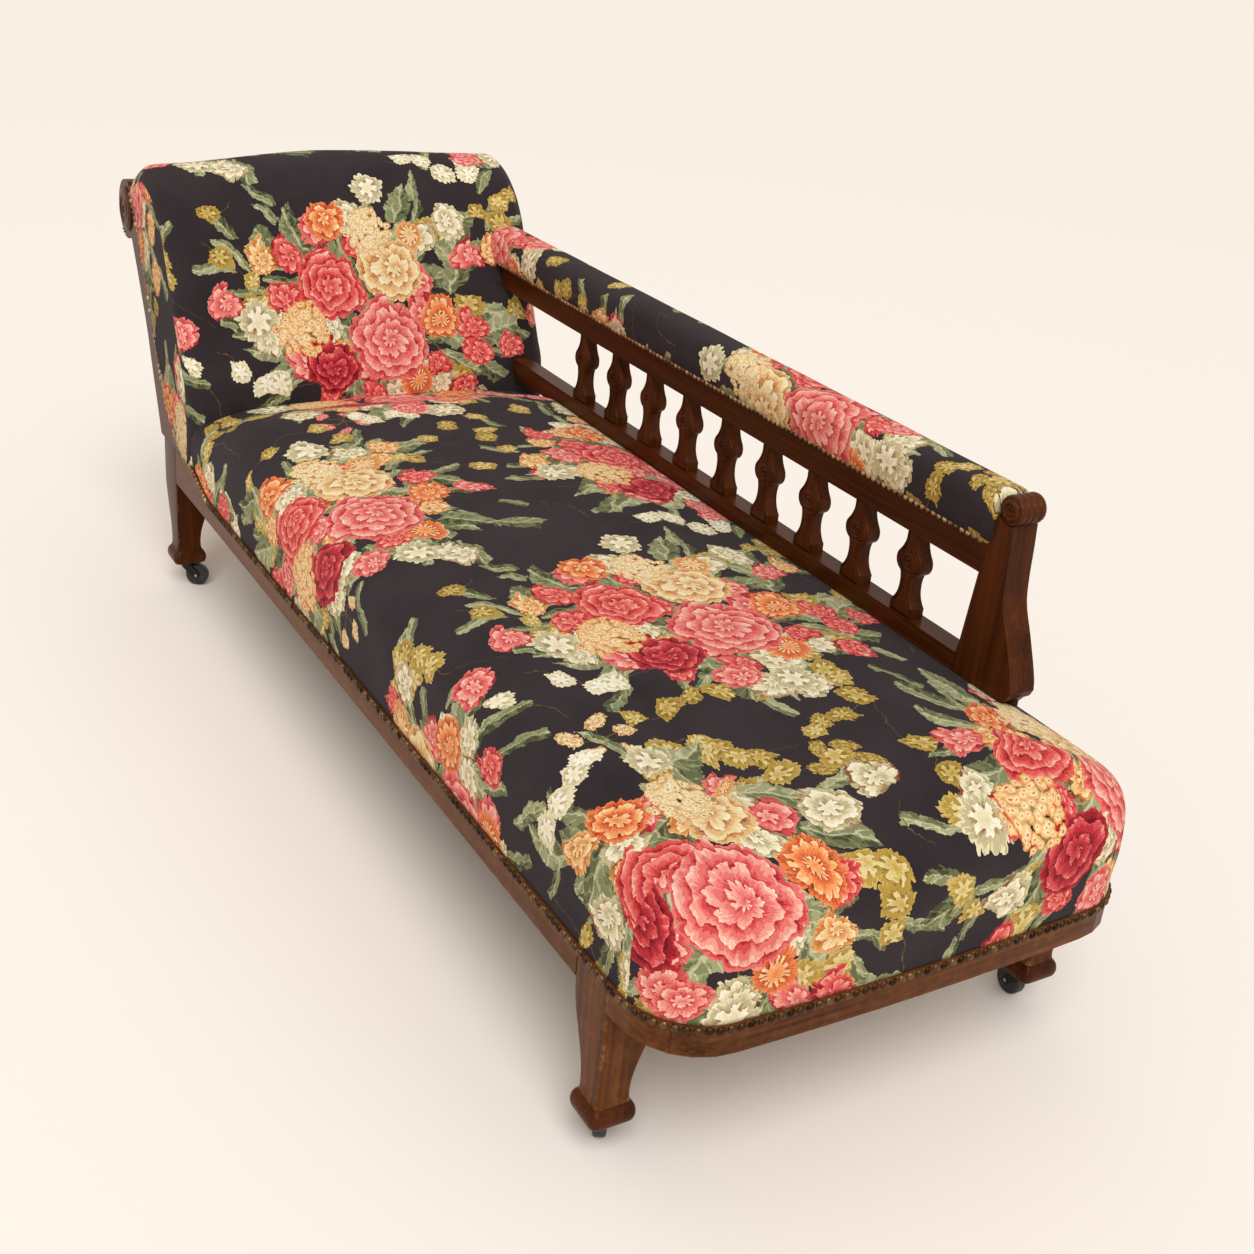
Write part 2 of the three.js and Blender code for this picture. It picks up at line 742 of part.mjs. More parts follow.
// Half of the baluster's edge from its foot up: a square foot, a hollow to the waist, a cusp, a
// round lobe, and a hollow up to the neck.
function balusterEdge() {
  const height = top_rail_bottom - lower_rail_bottom - lower_rail_height - 2 * joint_gap;
  const edge = [0, baluster_foot_step].map((z) => new THREE.Vector2(baluster_foot_half, z));
  const hollow_steps = 5;
  const hollow_power = 2.6;
  for (let i = 1; i <= hollow_steps; i++) {
    const up = i / hollow_steps;
    const width = baluster_foot_half - baluster_foot_edge - baluster_waist_half;
    const half = baluster_waist_half + width * (1 - up) ** hollow_power;
    const z = baluster_foot_step + (baluster_waist_height - baluster_foot_step) * up;
    edge.push(new THREE.Vector2(half, z));
  }
  const lobe = arcPoints(
    baluster_lobe_out, baluster_lobe_height, baluster_lobe_radius, lobe_from_degrees, lobe_to_degrees, 7,
  );
  edge.push(...lobe);
  const shoulder = lobe[lobe.length - 1];
  const neck_z = height - baluster_neck_drop;
  const neck_steps = 4;
  const neck_power = 1.8;
  for (let i = 1; i <= neck_steps; i++) {
    const up = i / neck_steps;
    const half = baluster_neck_half + (shoulder.x - baluster_neck_half) * (1 - up) ** neck_power;
    edge.push(new THREE.Vector2(half, shoulder.y + (neck_z - shoulder.y) * up));
  }
  edge.push(new THREE.Vector2(baluster_neck_half, height));
  return edge;
}

// A fretted baluster with a carved rosette on the lobes, its middle at x.
function balusterGeometry(x) {
  const edge = balusterEdge();
  const base = lower_rail_bottom + lower_rail_height + joint_gap;
  const right = edge.map((p) => new THREE.Vector2(x + p.x, base + p.y));
  const left = edge.map((p) => new THREE.Vector2(x - p.x, base + p.y)).reverse();
  const y0 = gallery_front + baluster_inset;
  const body = sawnBoard([...right, ...left], y0, y0 + baluster_thickness);
  const disc = (radius, relief) =>
    roundBar(radius, x, base + baluster_lobe_height, y0 - relief, y0 + baluster_thickness / 2, 16);
  const rosette = disc(rosette_radius, rosette_relief);
  const eye = disc(rosette_eye_radius, rosette_relief + rosette_eye_relief);
  return joinAndCut([body, rosette, eye]);
}

// The post's edges as shares of its head's width and height, from the bottom up.
const post_front_shares = [
  [0.81, 0],
  [0.82, 0.01],
  [0.91, 0.055],
  [1, 0.095],
  [0.96, 0.195],
  [0.77, 0.4],
  [0.61, 0.56],
  [0.56, 0.715],
  [0.54, 0.87],
  [0.51, 1.03],
];
const post_back_shares = [[0.235, 1.03], [0.12, 0.69], [0.03, 0.235], [0, 0.155], [0, 0]];

function postOutline() {
  const place = ([along, up]) =>
    new THREE.Vector2(post_head_back_x + post_head_width * along, post_head_bottom + post_head_height * up);
  const stem_back_x = post_stem_foot_x - post_stem_width;
  return [
    ...curveThrough(post_front_shares.map(place), 22),
    ...post_back_shares.map(place),
    new THREE.Vector2(stem_back_x, post_head_bottom),
    new THREE.Vector2(stem_back_x, post_stem_bottom),
    new THREE.Vector2(post_stem_foot_x, post_stem_bottom),
  ];
}

function postRoom(grow) {
  return sawnBoard(offsetCurve(postOutline(), grow), gallery_front - grow, post_back_y + grow);
}

// The knob: a short turned roller lying across the post's top, with beads and a boss at each end.
function knobGeometry() {
  const bead_count = 4;
  const bead = post_thickness / bead_count;
  const profile = [
    new THREE.Vector2(0, -knob_boss_relief),
    new THREE.Vector2(knob_boss_radius, -knob_boss_relief),
    new THREE.Vector2(knob_boss_radius, 0),
  ];
  const bead_edge_share = 0.3;
  for (let i = 0; i < bead_count; i++) {
    profile.push(new THREE.Vector2(knob_radius - knob_groove, bead * i));
    profile.push(new THREE.Vector2(knob_radius, bead * (i + bead_edge_share)));
    profile.push(new THREE.Vector2(knob_radius, bead * (i + 1 - bead_edge_share)));
  }
  profile.push(new THREE.Vector2(knob_radius - knob_groove, post_thickness));
  profile.push(new THREE.Vector2(knob_boss_radius, post_thickness));
  profile.push(new THREE.Vector2(knob_boss_radius, post_thickness + knob_boss_relief));
  profile.push(new THREE.Vector2(0, post_thickness + knob_boss_relief));
  const geometry = new THREE.LatheGeometry(profile, 24);
  geometry.translate(knob_centre_x, gallery_front, knob_centre_z);
  return geometry;
}

// The stuffed arm: a squarish roll over the top rail, rounded at its free end.
function armForm() {
  const centre_z = arm_bottom + arm_height / 2;
  const around = 28;
  const squareness_share = 2 / 3;
  const section = (x, shrink) => {
    const ring = [];
    for (let i = 0; i < around; i++) {
      const angle = (2 * Math.PI * i) / around;
      const squared = (s) => Math.sign(s) * Math.abs(s) ** squareness_share;
      const y = arm_centre_y + (arm_half_width - shrink) * squared(Math.cos(angle));
      const z = centre_z + (arm_height / 2 - shrink) * squared(Math.sin(angle));
      ring.push(new THREE.Vector3(x, y, z));
    }
    return ring;
  };
  const straight_end = arm_end_x - arm_end_rounding;
  const straight_steps = 6;
  const rings = [];
  for (let i = 0; i <= straight_steps; i++) {
    rings.push(section(upright_x + ((straight_end - upright_x) * i) / straight_steps, 0));
  }
  const round_steps = 4;
  for (let i = 1; i <= round_steps; i++) {
    const angle = degrees((90 * i) / round_steps);
    const x = straight_end + arm_end_rounding * Math.sin(angle);
    rings.push(section(x, arm_end_rounding * (1 - Math.cos(angle))));
  }
  return skinRings(rings, ['y', 'z']);
}

function addGallery() {
  addPiece('gallery_upright', galleryUpright(0), beech);
  addPiece('gallery_lower_rail', lowerRail(0), walnut);
  addPiece('gallery_top_rail', joinAndCut([topRail(0)], [postRoom(joint_gap)]), walnut);
  for (let i = 0; i < baluster_count; i++) {
    addPiece(`baluster_${i + 1}`, balusterGeometry(first_baluster_x + baluster_pitch * i), walnut);
  }
  const knob_seat = roundBar(
    knob_radius + joint_gap, knob_centre_x, knob_centre_z,
    gallery_front - cut_overrun, post_back_y + cut_overrun, 28,
  );
  const post = joinAndCut([sawnBoard(postOutline(), gallery_front, post_back_y)], [knob_seat]);
  addPiece('gallery_end_post', post, walnut);
  addPiece('post_knob', knobGeometry(), walnut);
  const cuts = [headPadForm(soft_gap), topRail(soft_gap), galleryUpright(soft_gap), postRoom(soft_gap)];
  addPiece('arm_pad', joinAndCut([armForm()], cuts), print_cloth);
}

// Seat filling

// Rings of the seat pad from its lower edge up: how far in, as shares of the seat's half
// width, and how high, as shares of its crown.
const seat_ring_shares = [
  [0, 0],
  [0, 0.15],
  [-0.006, 0.31],
  [-0.004, 0.45],
  [0.004, 0.585],
  [0.022, 0.69],
  [0.06, 0.765],
  [0.12, 0.83],
  [0.24, 0.92],
  [0.42, 0.97],
  [0.62, 0.993],
  [0.84, 1],
  [0.94, 1.002],
];
const seat_side_shares = [0, 0.033, 0.066, 0.1, 0.135, 0.17, 0.22, 0.32, 0.45, 0.59, 0.73, 0.87];

// Closes a ring of the seat pad across the couch, from the head end to the foot end, so that its
// triangles follow the dip.
function closeAcross(triangles, first, count, facing_up) {
  const add = (p, q, r) => triangles.push(p, ...(facing_up ? [q, r] : [r, q]));
  const middle = first + (count - 1) / 2;
  for (let i = 0; first + i + 1 < middle; i++) {
    const opposite = first + count - 1 - i;
    add(first + i, first + i + 1, opposite - 1);
    add(first + i, opposite - 1, opposite);
  }
  add(middle - 1, middle, middle + 1);
}

function seatPadForm() {
  const start_x = head_base_x - seat_head_overlap;
  const rings = seat_ring_shares.map(([inward, up]) => {
    const inset = seat_face_inset + side_face_y * inward;
    return seatPlan(inset, start_x, seat_side_shares).map((p) => {
      const dip = seat_head_dip * up * eased((head_base_x + seat_dip_length - p.x) / seat_dip_length);
      return new THREE.Vector3(p.x, p.y, rebate_z + joint_gap + seat_crown_height * up - dip);
    });
  });
  const count = rings[0].length;
  const triangles = [];
  for (let r = 0; r + 1 < rings.length; r++) stripBetween(triangles, r, r + 1, count);
  closeAcross(triangles, 0, count, false);
  closeAcross(triangles, (rings.length - 1) * count, count, true);
  return facingOut(rings.flat(), triangles);
}

// The room the seat frame takes: all inside the rebate up to the rails' tops, and the stretch
// near the head where the rail's face keeps its full height.
function seatFrameRoom() {
  const start_x = head_base_x - seat_head_overlap - cut_overrun;
  const inside = flatBoard(seatPlan(rebate_depth - soft_gap, start_x), rail_bottom, seat_base_z);
  const rebate_x = head_leg_face_x + rebate_start_from_leg;
  const wedge = [
    new THREE.Vector2(start_x, rail_bottom),
    new THREE.Vector2(rebate_x, rail_bottom),
    new THREE.Vector2(rebate_x, rebate_z),
    new THREE.Vector2(rebate_x - rebate_run_out, seat_base_z),
    new THREE.Vector2(start_x, seat_base_z),
  ];
  const full_height = sawnBoard(wedge, -block_outer_y - cut_overrun, block_outer_y + cut_overrun);
  return [inside, full_height];
}

// A coil spring's line, wide at both ends and narrow at the waist.
class SpringCurve extends THREE.Curve {
  constructor(x, y, bottom, top) {
    super();
    Object.assign(this, { x, y, bottom, top });
  }

  getPoint(t, target = new THREE.Vector3()) {
    const angle = 2 * Math.PI * spring_turns * t;
    const from_waist = Math.abs(2 * t - 1);
    const radius = spring_waist_radius + (spring_end_radius - spring_waist_radius) * from_waist;
    const z = this.bottom + (this.top - this.bottom) * t;
    return target.set(this.x + radius * Math.cos(angle), this.y + radius * Math.sin(angle), z);
  }
}

function springGeometry(x, y, bottom, top) {
  const wire = new THREE.Shape();
  wire.absarc(0, 0, spring_wire_radius, 0, 2 * Math.PI, false);
  const extrudePath = new SpringCurve(x, y, bottom, top);
  return joinAndCut([new THREE.ExtrudeGeometry(wire, { steps: 40, curveSegments: 3, extrudePath })]);
}

function addSeatFilling() {
  const well_x0 = head_leg_face_x + spring_well_start_from_leg;
  const well_x1 = foot_leg_back_x - spring_well_foot_margin;
  const well_y = spring_well_half_width;
  const well_top = rail_top + spring_well_height;
  const well = block(well_x0, well_x1, -well_y, well_y, rail_bottom, well_top);
  const cuts = [
    ...seatFrameRoom(), headPadForm(soft_gap), stileRoom(-1), stileRoom(1),
    lowerRail(soft_gap), postRoom(soft_gap), well,
  ];
  addPiece('seat_pad', joinAndCut([seatPadForm()], cuts), print_cloth);

  const head_x = head_leg_back_x + cross_rail_thickness + joint_gap;
  const shoulder_x = head_leg_face_x + joint_gap;
  const foot_x = foot_leg_back_x - joint_gap;
  const inner_y = post_back_y;
  const cover_z = rail_bottom + joint_gap;
  const cover_top = cover_z + dust_cover_thickness;
  const wide = block(shoulder_x, foot_x, -inner_y, inner_y, cover_z, cover_top);
  const narrow = block(head_x, shoulder_x + joint_gap, -between_legs_y, between_legs_y, cover_z, cover_top);
  addPiece('dust_cover', joinAndCut([wide, narrow]), black_cloth);

  const web_z = cover_top + webbing_clear_of_cover;
  const web_top = web_z + webbing_thickness;
  const half_band = webbing_width / 2;
  const spring_y = well_y / 2;
  const bands = [];
  for (let i = 0; i < webbing_cross_count; i++) {
    const x = well_x0 + ((well_x1 - well_x0) * (i + 0.5)) / webbing_cross_count;
    bands.push(block(x - half_band, x + half_band, -inner_y, inner_y, web_z, web_top));
  }
  for (let i = 0; i < webbing_long_count; i++) {
    const y = spring_y * (i - (webbing_long_count - 1) / 2);
    bands.push(block(head_x, foot_x, y - half_band, y + half_band, web_z, web_top));
  }
  addPiece('seat_webbing', joinAndCut(bands), jute);

  const hessian_top = well_top - soft_gap;
  const hessian_bottom = hessian_top - hessian_thickness;
  const hessian_y = well_y - joint_gap;
  const hessian = block(
    well_x0 + joint_gap, well_x1 - joint_gap, -hessian_y, hessian_y, hessian_bottom, hessian_top,
  );
  addPiece('seat_hessian', hessian, jute);
  const clear = joint_gap + spring_wire_radius;
  for (let i = 0; i < spring_columns; i++) {
    const x = well_x0 + ((well_x1 - well_x0) * (i + 0.5)) / spring_columns;
    for (const [place, side] of [['front', -1], ['back', 1]]) {
      const spring = springGeometry(x, side * spring_y, web_top + clear, hessian_bottom - clear);
      addPiece(`seat_spring_${place}_${i + 1}`, spring, spring_steel);
    }
  }
}

// Castors, each built with its pintle on the Z axis and the foot block's underside at 0

function wheelGeometry() {
  const half = wheel_width / 2;
  const round_share = 0.3;
  const near = wheel_edge_round * round_share;
  const bore_radius = axle_radius + running_clearance;
  const profile = [
    new THREE.Vector2(bore_radius, -half),
    new THREE.Vector2(wheel_radius - wheel_edge_round, -half),
    new THREE.Vector2(wheel_radius - near, -half + near),
    new THREE.Vector2(wheel_radius, -half + wheel_edge_round),
    new THREE.Vector2(wheel_radius, half - wheel_edge_round),
    new THREE.Vector2(wheel_radius - near, half - near),
    new THREE.Vector2(wheel_radius - wheel_edge_round, half),
    new THREE.Vector2(bore_radius, half),
    new THREE.Vector2(bore_radius, -half),
  ];
  const geometry = new THREE.LatheGeometry(profile, 28);
  geometry.translate(castor_trail, 0, wheel_radius - foot_block_bottom);
  return geometry;
}

function castorPlate() {
  const bottom = -joint_gap - castor_plate_thickness;
  const disc = standingBar(castor_plate_radius, 0, 0, bottom, -joint_gap, 28);
  const hole = standingBar(pintle_radius + running_clearance, 0, 0, bottom - cut_overrun, cut_overrun, 20);
  return joinAndCut([disc], [hole]);
}

const eye_from_degrees = 45;
const eye_to_degrees = -153;

// The horn: a crown with its pintle, and two cheeks that hold the axle.
function castorHorn() {
  const crown_top = -castor_plate_thickness - 2 * joint_gap;
  const crown_bottom = crown_top - horn_crown_thickness;
  const crown_middle = (crown_top + crown_bottom) / 2;
  const crown = standingBar(horn_crown_radius, 0, 0, crown_bottom, crown_top, 28);
  const pintle = standingBar(pintle_radius, 0, 0, crown_middle, pintle_height, 20);
  const axle_z = wheel_radius - foot_block_bottom;
  const outline = [
    new THREE.Vector2(-horn_cheek_half, crown_middle),
    new THREE.Vector2(horn_cheek_half, crown_middle),
    ...arcPoints(castor_trail, axle_z, horn_eye_radius, eye_from_degrees, eye_to_degrees, 10),
    new THREE.Vector2(-horn_cheek_half, crown_bottom - horn_crown_thickness),
  ];
  const inner = wheel_width / 2 + cheek_clearance;
  const outer = inner + horn_cheek_thickness;
  const cheeks = [sawnBoard(outline, inner, outer), sawnBoard(outline, -outer, -inner)];
  const reach = outer + cut_overrun;
  const hole = roundBar(axle_radius + running_clearance, castor_trail, axle_z, -reach, reach, 20);
  return joinAndCut([crown, pintle, ...cheeks], [hole]);
}

function castorAxle() {
  const half = wheel_width / 2 + cheek_clearance + horn_cheek_thickness + axle_proud;
  return roundBar(axle_radius, castor_trail, wheel_radius - foot_block_bottom, -half, half, 20);
}

function addCastor(place, leg_face_x, side, trail_degrees) {
  const x = leg_face_x + leg_face_inset - foot_block_size / 2;
  const y = side * (block_outer_y - foot_block_size / 2);
  const pieces = [
    ['castor_plate', castorPlate(), black_iron],
    ['castor_horn', castorHorn(), black_iron],
    ['castor_axle', castorAxle(), bright_steel],
    ['castor_wheel', wheelGeometry(), black_wheel],
  ];
  for (const [name, geometry, finish] of pieces) {
    geometry.rotateZ(degrees(trail_degrees));
    geometry.translate(x, y, foot_block_bottom);
    addPiece(`${name}_${place}`, geometry, finish);
  }
}

addLegs();
addSeatFrame();
addHeadEnd();
addGallery();
addSeatFilling();
addCastor('foot_front', foot_leg_face_x, -1, foot_front_trail_degrees);
addCastor('foot_back', foot_leg_face_x, 1, foot_back_trail_degrees);
addCastor('head_front', head_leg_face_x, -1, head_front_trail_degrees);
addCastor('head_back', head_leg_face_x, 1, head_back_trail_degrees);

export default couch;
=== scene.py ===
import math

import bmesh
import bpy
import numpy as np
from mathutils import Matrix, Vector
from mathutils.bvhtree import BVHTree


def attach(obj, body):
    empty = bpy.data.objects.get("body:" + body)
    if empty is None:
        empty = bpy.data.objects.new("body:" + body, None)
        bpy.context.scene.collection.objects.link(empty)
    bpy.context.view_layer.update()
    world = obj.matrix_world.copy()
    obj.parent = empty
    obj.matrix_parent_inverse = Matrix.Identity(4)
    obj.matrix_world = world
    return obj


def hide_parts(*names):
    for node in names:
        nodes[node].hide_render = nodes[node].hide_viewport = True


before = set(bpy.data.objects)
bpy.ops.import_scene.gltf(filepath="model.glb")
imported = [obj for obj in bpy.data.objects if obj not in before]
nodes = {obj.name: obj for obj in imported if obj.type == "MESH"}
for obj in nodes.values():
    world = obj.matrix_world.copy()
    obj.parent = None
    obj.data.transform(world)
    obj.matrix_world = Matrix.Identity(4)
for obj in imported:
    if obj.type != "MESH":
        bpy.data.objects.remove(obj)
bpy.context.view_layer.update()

scene = bpy.context.scene

# Camera
# It looks down on the foot end from the couch's front right, a little turned, as the photograph does.

camera_place = Vector((1.9514, -1.0425, 1.2717))
camera_azimuth, camera_elevation, camera_roll = (math.radians(a) for a in (57.508, 25.931, 5.773))
camera_lens, camera_reach = 46.61, 100


def placed(name, data):
    """Puts a mesh, a lamp or the camera in the scene."""
    made = bpy.data.objects.new(name, data)
    scene.collection.objects.link(made)
    return made


looking = Vector((
    -math.sin(camera_azimuth) * math.cos(camera_elevation),
    math.cos(camera_azimuth) * math.cos(camera_elevation),
    -math.sin(camera_elevation),
))
level = looking.cross(Vector((0, 0, 1))).normalized()
upward = level.cross(looking)
right = level * math.cos(camera_roll) + upward * math.sin(camera_roll)
top = upward * math.cos(camera_roll) - level * math.sin(camera_roll)
camera_data = bpy.data.cameras.new("camera")
camera_data.lens = camera_lens
camera_data.clip_end = camera_reach
camera = placed("camera", camera_data)
camera.matrix_world = Matrix.Translation(camera_place) @ Matrix((
    (right.x, top.x, -looking.x, 0),
    (right.y, top.y, -looking.y, 0),
    (right.z, top.z, -looking.z, 0),
    (0, 0, 0, 1),
))
scene.camera = camera

# Studio
# A warm white floor that runs on past the view, under an even sky and one broad soft lamp. Its colour is
# painted brightest near the front of the foot end and dimmer far off, which is painted light, and warmer and
# darker under the couch, which is painted shadow.

paper_white = (0.955, 0.885, 0.812)
floor_reach = 40
floor_middle = (0.9, -0.9, 0)
# Painted light: the floor's colour near the front of the foot end, further out, and far away.
floor_near, floor_past, floor_far = (0.972, 0.908, 0.858), (0.932, 0.868, 0.815), (0.896, 0.828, 0.768)
# The tint of a painted shadow on the floor under the couch:
floor_shade = (1.0, 0.945, 0.900)
sky_strength, sky_colour = 0.57, (1, 0.915, 0.805)
lamp_strength, lamp_colour = 2.00, (0.975, 1.030, 1.075)
lamp_spread = math.radians(40)
lamp_direction = Vector((-0.72, 0.32, -1))


class Signal:
    """A value in a shader. Sums and comparisons made with it lay the nodes that work them out."""

    def __init__(self, wiring, socket):
        self.wiring, self.socket = wiring, socket

    def __add__(self, other): return self.wiring.math("ADD", self, other)
    def __sub__(self, other): return self.wiring.math("SUBTRACT", self, other)
    def __rsub__(self, other): return self.wiring.math("SUBTRACT", other, self)
    def __mul__(self, other): return self.wiring.math("MULTIPLY", self, other)
    def __truediv__(self, other): return self.wiring.math("DIVIDE", self, other)
    def __rtruediv__(self, other): return self.wiring.math("DIVIDE", other, self)
    def __lt__(self, other): return self.wiring.math("LESS_THAN", self, other)
    def __gt__(self, other): return self.wiring.math("GREATER_THAN", self, other)
    def __abs__(self): return self.wiring.math("ABSOLUTE", self)

    @property
    def parts(self):
        made = self.wiring.node("ShaderNodeSeparateXYZ", self)
        return [Signal(self.wiring, socket) for socket in made.outputs]


class Wiring:
    """Lays shader nodes in one tree and joins them up."""

    def __init__(self, tree, shader=None):
        self.tree, self.shader = tree, shader

    def feed(self, socket, value):
        if isinstance(value, Signal):
            self.tree.links.new(value.socket, socket)
        elif value is not None:
            socket.default_value = (*value, 1) if socket.type == "RGBA" else value

    def node(self, kind, *values, **settings):
        made = self.tree.nodes.new(kind)
        for name, value in settings.items():
            setattr(made, name, value)
        for socket, value in zip(made.inputs, values):
            self.feed(socket, value)
        return made

    def read(self, kind, output, *values, **settings):
        return Signal(self, self.node(kind, *values, **settings).outputs[output])

    def math(self, operation, *values, clamp=False):
        """A maths node, or one for vectors where any of its values is a vector."""
        vectors = [isinstance(v, tuple) or isinstance(v, Signal) and v.socket.type != "VALUE" for v in values]
        if not any(vectors):
            return self.read("ShaderNodeMath", 0, *values, operation=operation, use_clamp=clamp)
        if operation == "MULTIPLY" and not all(vectors):
            vector, scale = values[vectors.index(True)], values[vectors.index(False)]
            return self.read("ShaderNodeVectorMath", 0, vector, None, None, scale, operation="SCALE")
        output = "Value" if operation in ("LENGTH", "DISTANCE", "DOT_PRODUCT") else "Vector"
        return self.read("ShaderNodeVectorMath", output, *values, operation=operation)

    def mix(self, factor, first, second, kind="RGBA", blend="MIX"):
        skipped = {"FLOAT": 1, "VECTOR": 3, "RGBA": 5}[kind]
        values = (factor, *[None] * skipped, first, second)
        return self.read("ShaderNodeMix", skipped // 2, *values, data_type=kind, blend_type=blend)

    def join(self, x, y, z=0.0):
        return self.read("ShaderNodeCombineXYZ", 0, x, y, z)

    def ramp(self, factor, stops, interpolation="LINEAR"):
        """A colour for a value, from stops that are each a place and a colour."""
        made = self.node("ShaderNodeValToRGB", factor)
        made.color_ramp.interpolation = interpolation
        for _ in stops[2:]:
            made.color_ramp.elements.new(0.5)
        for element, (place, *colour) in zip(made.color_ramp.elements, stops):
            element.position = place
            element.color = (*colour, 1)
        return Signal(self, made.outputs["Color"])

    def noise(self, place, scale, detail=2.0, roughness=0.5, dimensions="3D", output="Fac"):
        values = (place, None, scale, detail, roughness)
        return self.read("ShaderNodeTexNoise", output, *values, noise_dimensions=dimensions)

    def use(self, group, **values):
        """What a group puts out, with its own values."""
        made = self.node("ShaderNodeGroup", node_tree=group)
        for name, value in values.items():
            self.feed(made.inputs[name.capitalize()], value)
        return [Signal(self, socket) for socket in made.outputs]

    def surface(self, **looks):
        """Sets the shader's own sockets."""
        for name, value in looks.items():
            self.feed(self.shader.inputs[name.replace("_", " ")], value)

    def relief(self, height, strength, distance):
        made = self.node("ShaderNodeBump", strength, distance)
        self.feed(made.inputs["Height"], height)
        self.surface(Normal=Signal(self, made.outputs["Normal"]))


def new_material(name, **looks):
    """A material with one Principled shader, and its wiring."""
    material = bpy.data.materials.new(name)
    material.use_nodes = True
    w = Wiring(material.node_tree, material.node_tree.nodes["Principled BSDF"])
    w.surface(**looks)
    return material, w


floor_mesh = bpy.data.meshes.new("floor")
floor_corners = [(x * floor_reach, y * floor_reach, 0) for x, y in [(-1, -1), (1, -1), (1, 1), (-1, 1)]]
floor_mesh.from_pydata(floor_corners, [], [(0, 1, 2, 3)])
floor = placed("floor", floor_mesh)
floor_material, w = new_material("floor_paper", Roughness=0.9, Specular_IOR_Level=0.1)
place = w.read("ShaderNodeTexCoord", "Object")
away = w.math("DISTANCE", place, floor_middle)
# Painted light: the floor is brightest near the front of the foot end and grows dimmer far away.
paper_painted_falloff = w.ramp(away / 10.0, [(0.10, *floor_near), (0.26, *floor_past), (0.70, *floor_far)])
# Painted shadow: under the couch the floor is tinted warmer and darker, fading out round it.
beneath = w.math("LENGTH", place * (0.5, 1.0, 0.0))
shade = w.ramp(beneath, [(0.30, *floor_shade), (0.75, 1.0, 1.0, 1.0)], "EASE")
w.surface(Base_Color=w.mix(1.0, paper_painted_falloff, shade, blend="MULTIPLY"))
floor_mesh.materials.append(floor_material)

world = bpy.data.worlds.new("sky")
scene.world = world
world.use_nodes = True
w = Wiring(world.node_tree)
sky = world.node_tree.nodes["Background"]
rays = w.node("ShaderNodeLightPath").outputs
seen, glossy, through = [Signal(w, rays[f"Is {kind} Ray"]) for kind in ("Camera", "Glossy", "Transmission")]
seen = w.math("MAXIMUM", w.math("MAXIMUM", seen, through), glossy)
w.feed(sky.inputs["Color"], w.mix(seen, sky_colour, paper_white))
w.feed(sky.inputs["Strength"], w.mix(seen, sky_strength, 1.0, "FLOAT"))

lamp_data = bpy.data.lights.new("soft_lamp", "SUN")
lamp_data.energy = lamp_strength
lamp_data.angle = lamp_spread
lamp_data.color = lamp_colour
lamp = placed("soft_lamp", lamp_data)
lamp.rotation_mode = "QUATERNION"
lamp.rotation_quaternion = lamp_direction.to_track_quat("-Z", "Y")
scene.view_settings.view_transform = "Standard"

# Show wood
# The legs, rails, stiles, gallery and post are stained walnut, planed and polished by hand, with
# eased edges that a century of use has rubbed lighter.

walnut_tones = (
    (0.032, 0.0080, 0.0018), (0.106, 0.0310, 0.0062), (0.176, 0.0590, 0.0135), (0.40, 0.190, 0.072),
)
# How much darker the shaded copy of the walnut is, channel by channel: painted shade.
gallery_painted_shade = (0.60, 0.49, 0.42)
wood_ways = ("long", "cross", "upright")
edge_ease, stile_ease, knob_ease = 0.0012, 0.0016, 0.0006


def new_group(name, inputs, outputs):
    """A shader node group. Returns it with its wiring, its inputs and a function that feeds its outputs."""
    group = bpy.data.node_groups.new(name, "ShaderNodeTree")
    kinds = {"Place": "Vector", "Local": "Vector", "Offset": "Vector", "Colour": "Color"}
    for way, labels in (("INPUT", inputs), ("OUTPUT", outputs)):
        for label in labels.split():
            kind = kinds.get(label, "Float")
            group.interface.new_socket(label, in_out=way, socket_type=f"NodeSocket{kind}")
    w = Wiring(group)
    given = [Signal(w, socket) for _, socket in zip(inputs.split(), w.node("NodeGroupInput").outputs)]
    results = w.node("NodeGroupOutput").inputs

    def give(*values):
        for socket, value in zip(results, values):
            w.feed(socket, value)

    return group, w, given, give


grain_group, w, (place,), give = new_group("wood_grain", "Place", "Figure Pores Scuffs Chips")
bent = w.noise(place * (3, 9, 9), 1.0, 1.0, output="Color")
warped = place + bent * (0.0, 0.018, 0.018)
waves = w.noise(warped * (1.1, 34, 34), 1.0, 3.0, 0.55)
lines = w.noise(warped * (3, 260, 260), 1.0, 2.0, 0.6)
pores = w.noise(place * (34, 1100, 1100), 1.0, 1.0)
scuffs = w.noise(place, 60.0, 3.0, 0.65)
chips = w.noise(place * (240, 460, 460), 1.0)
give(waves * 0.6 + lines * 0.4, pores < 0.34, w.math("MULTIPLY", scuffs - 0.46, 5.0, clamp=True), chips)


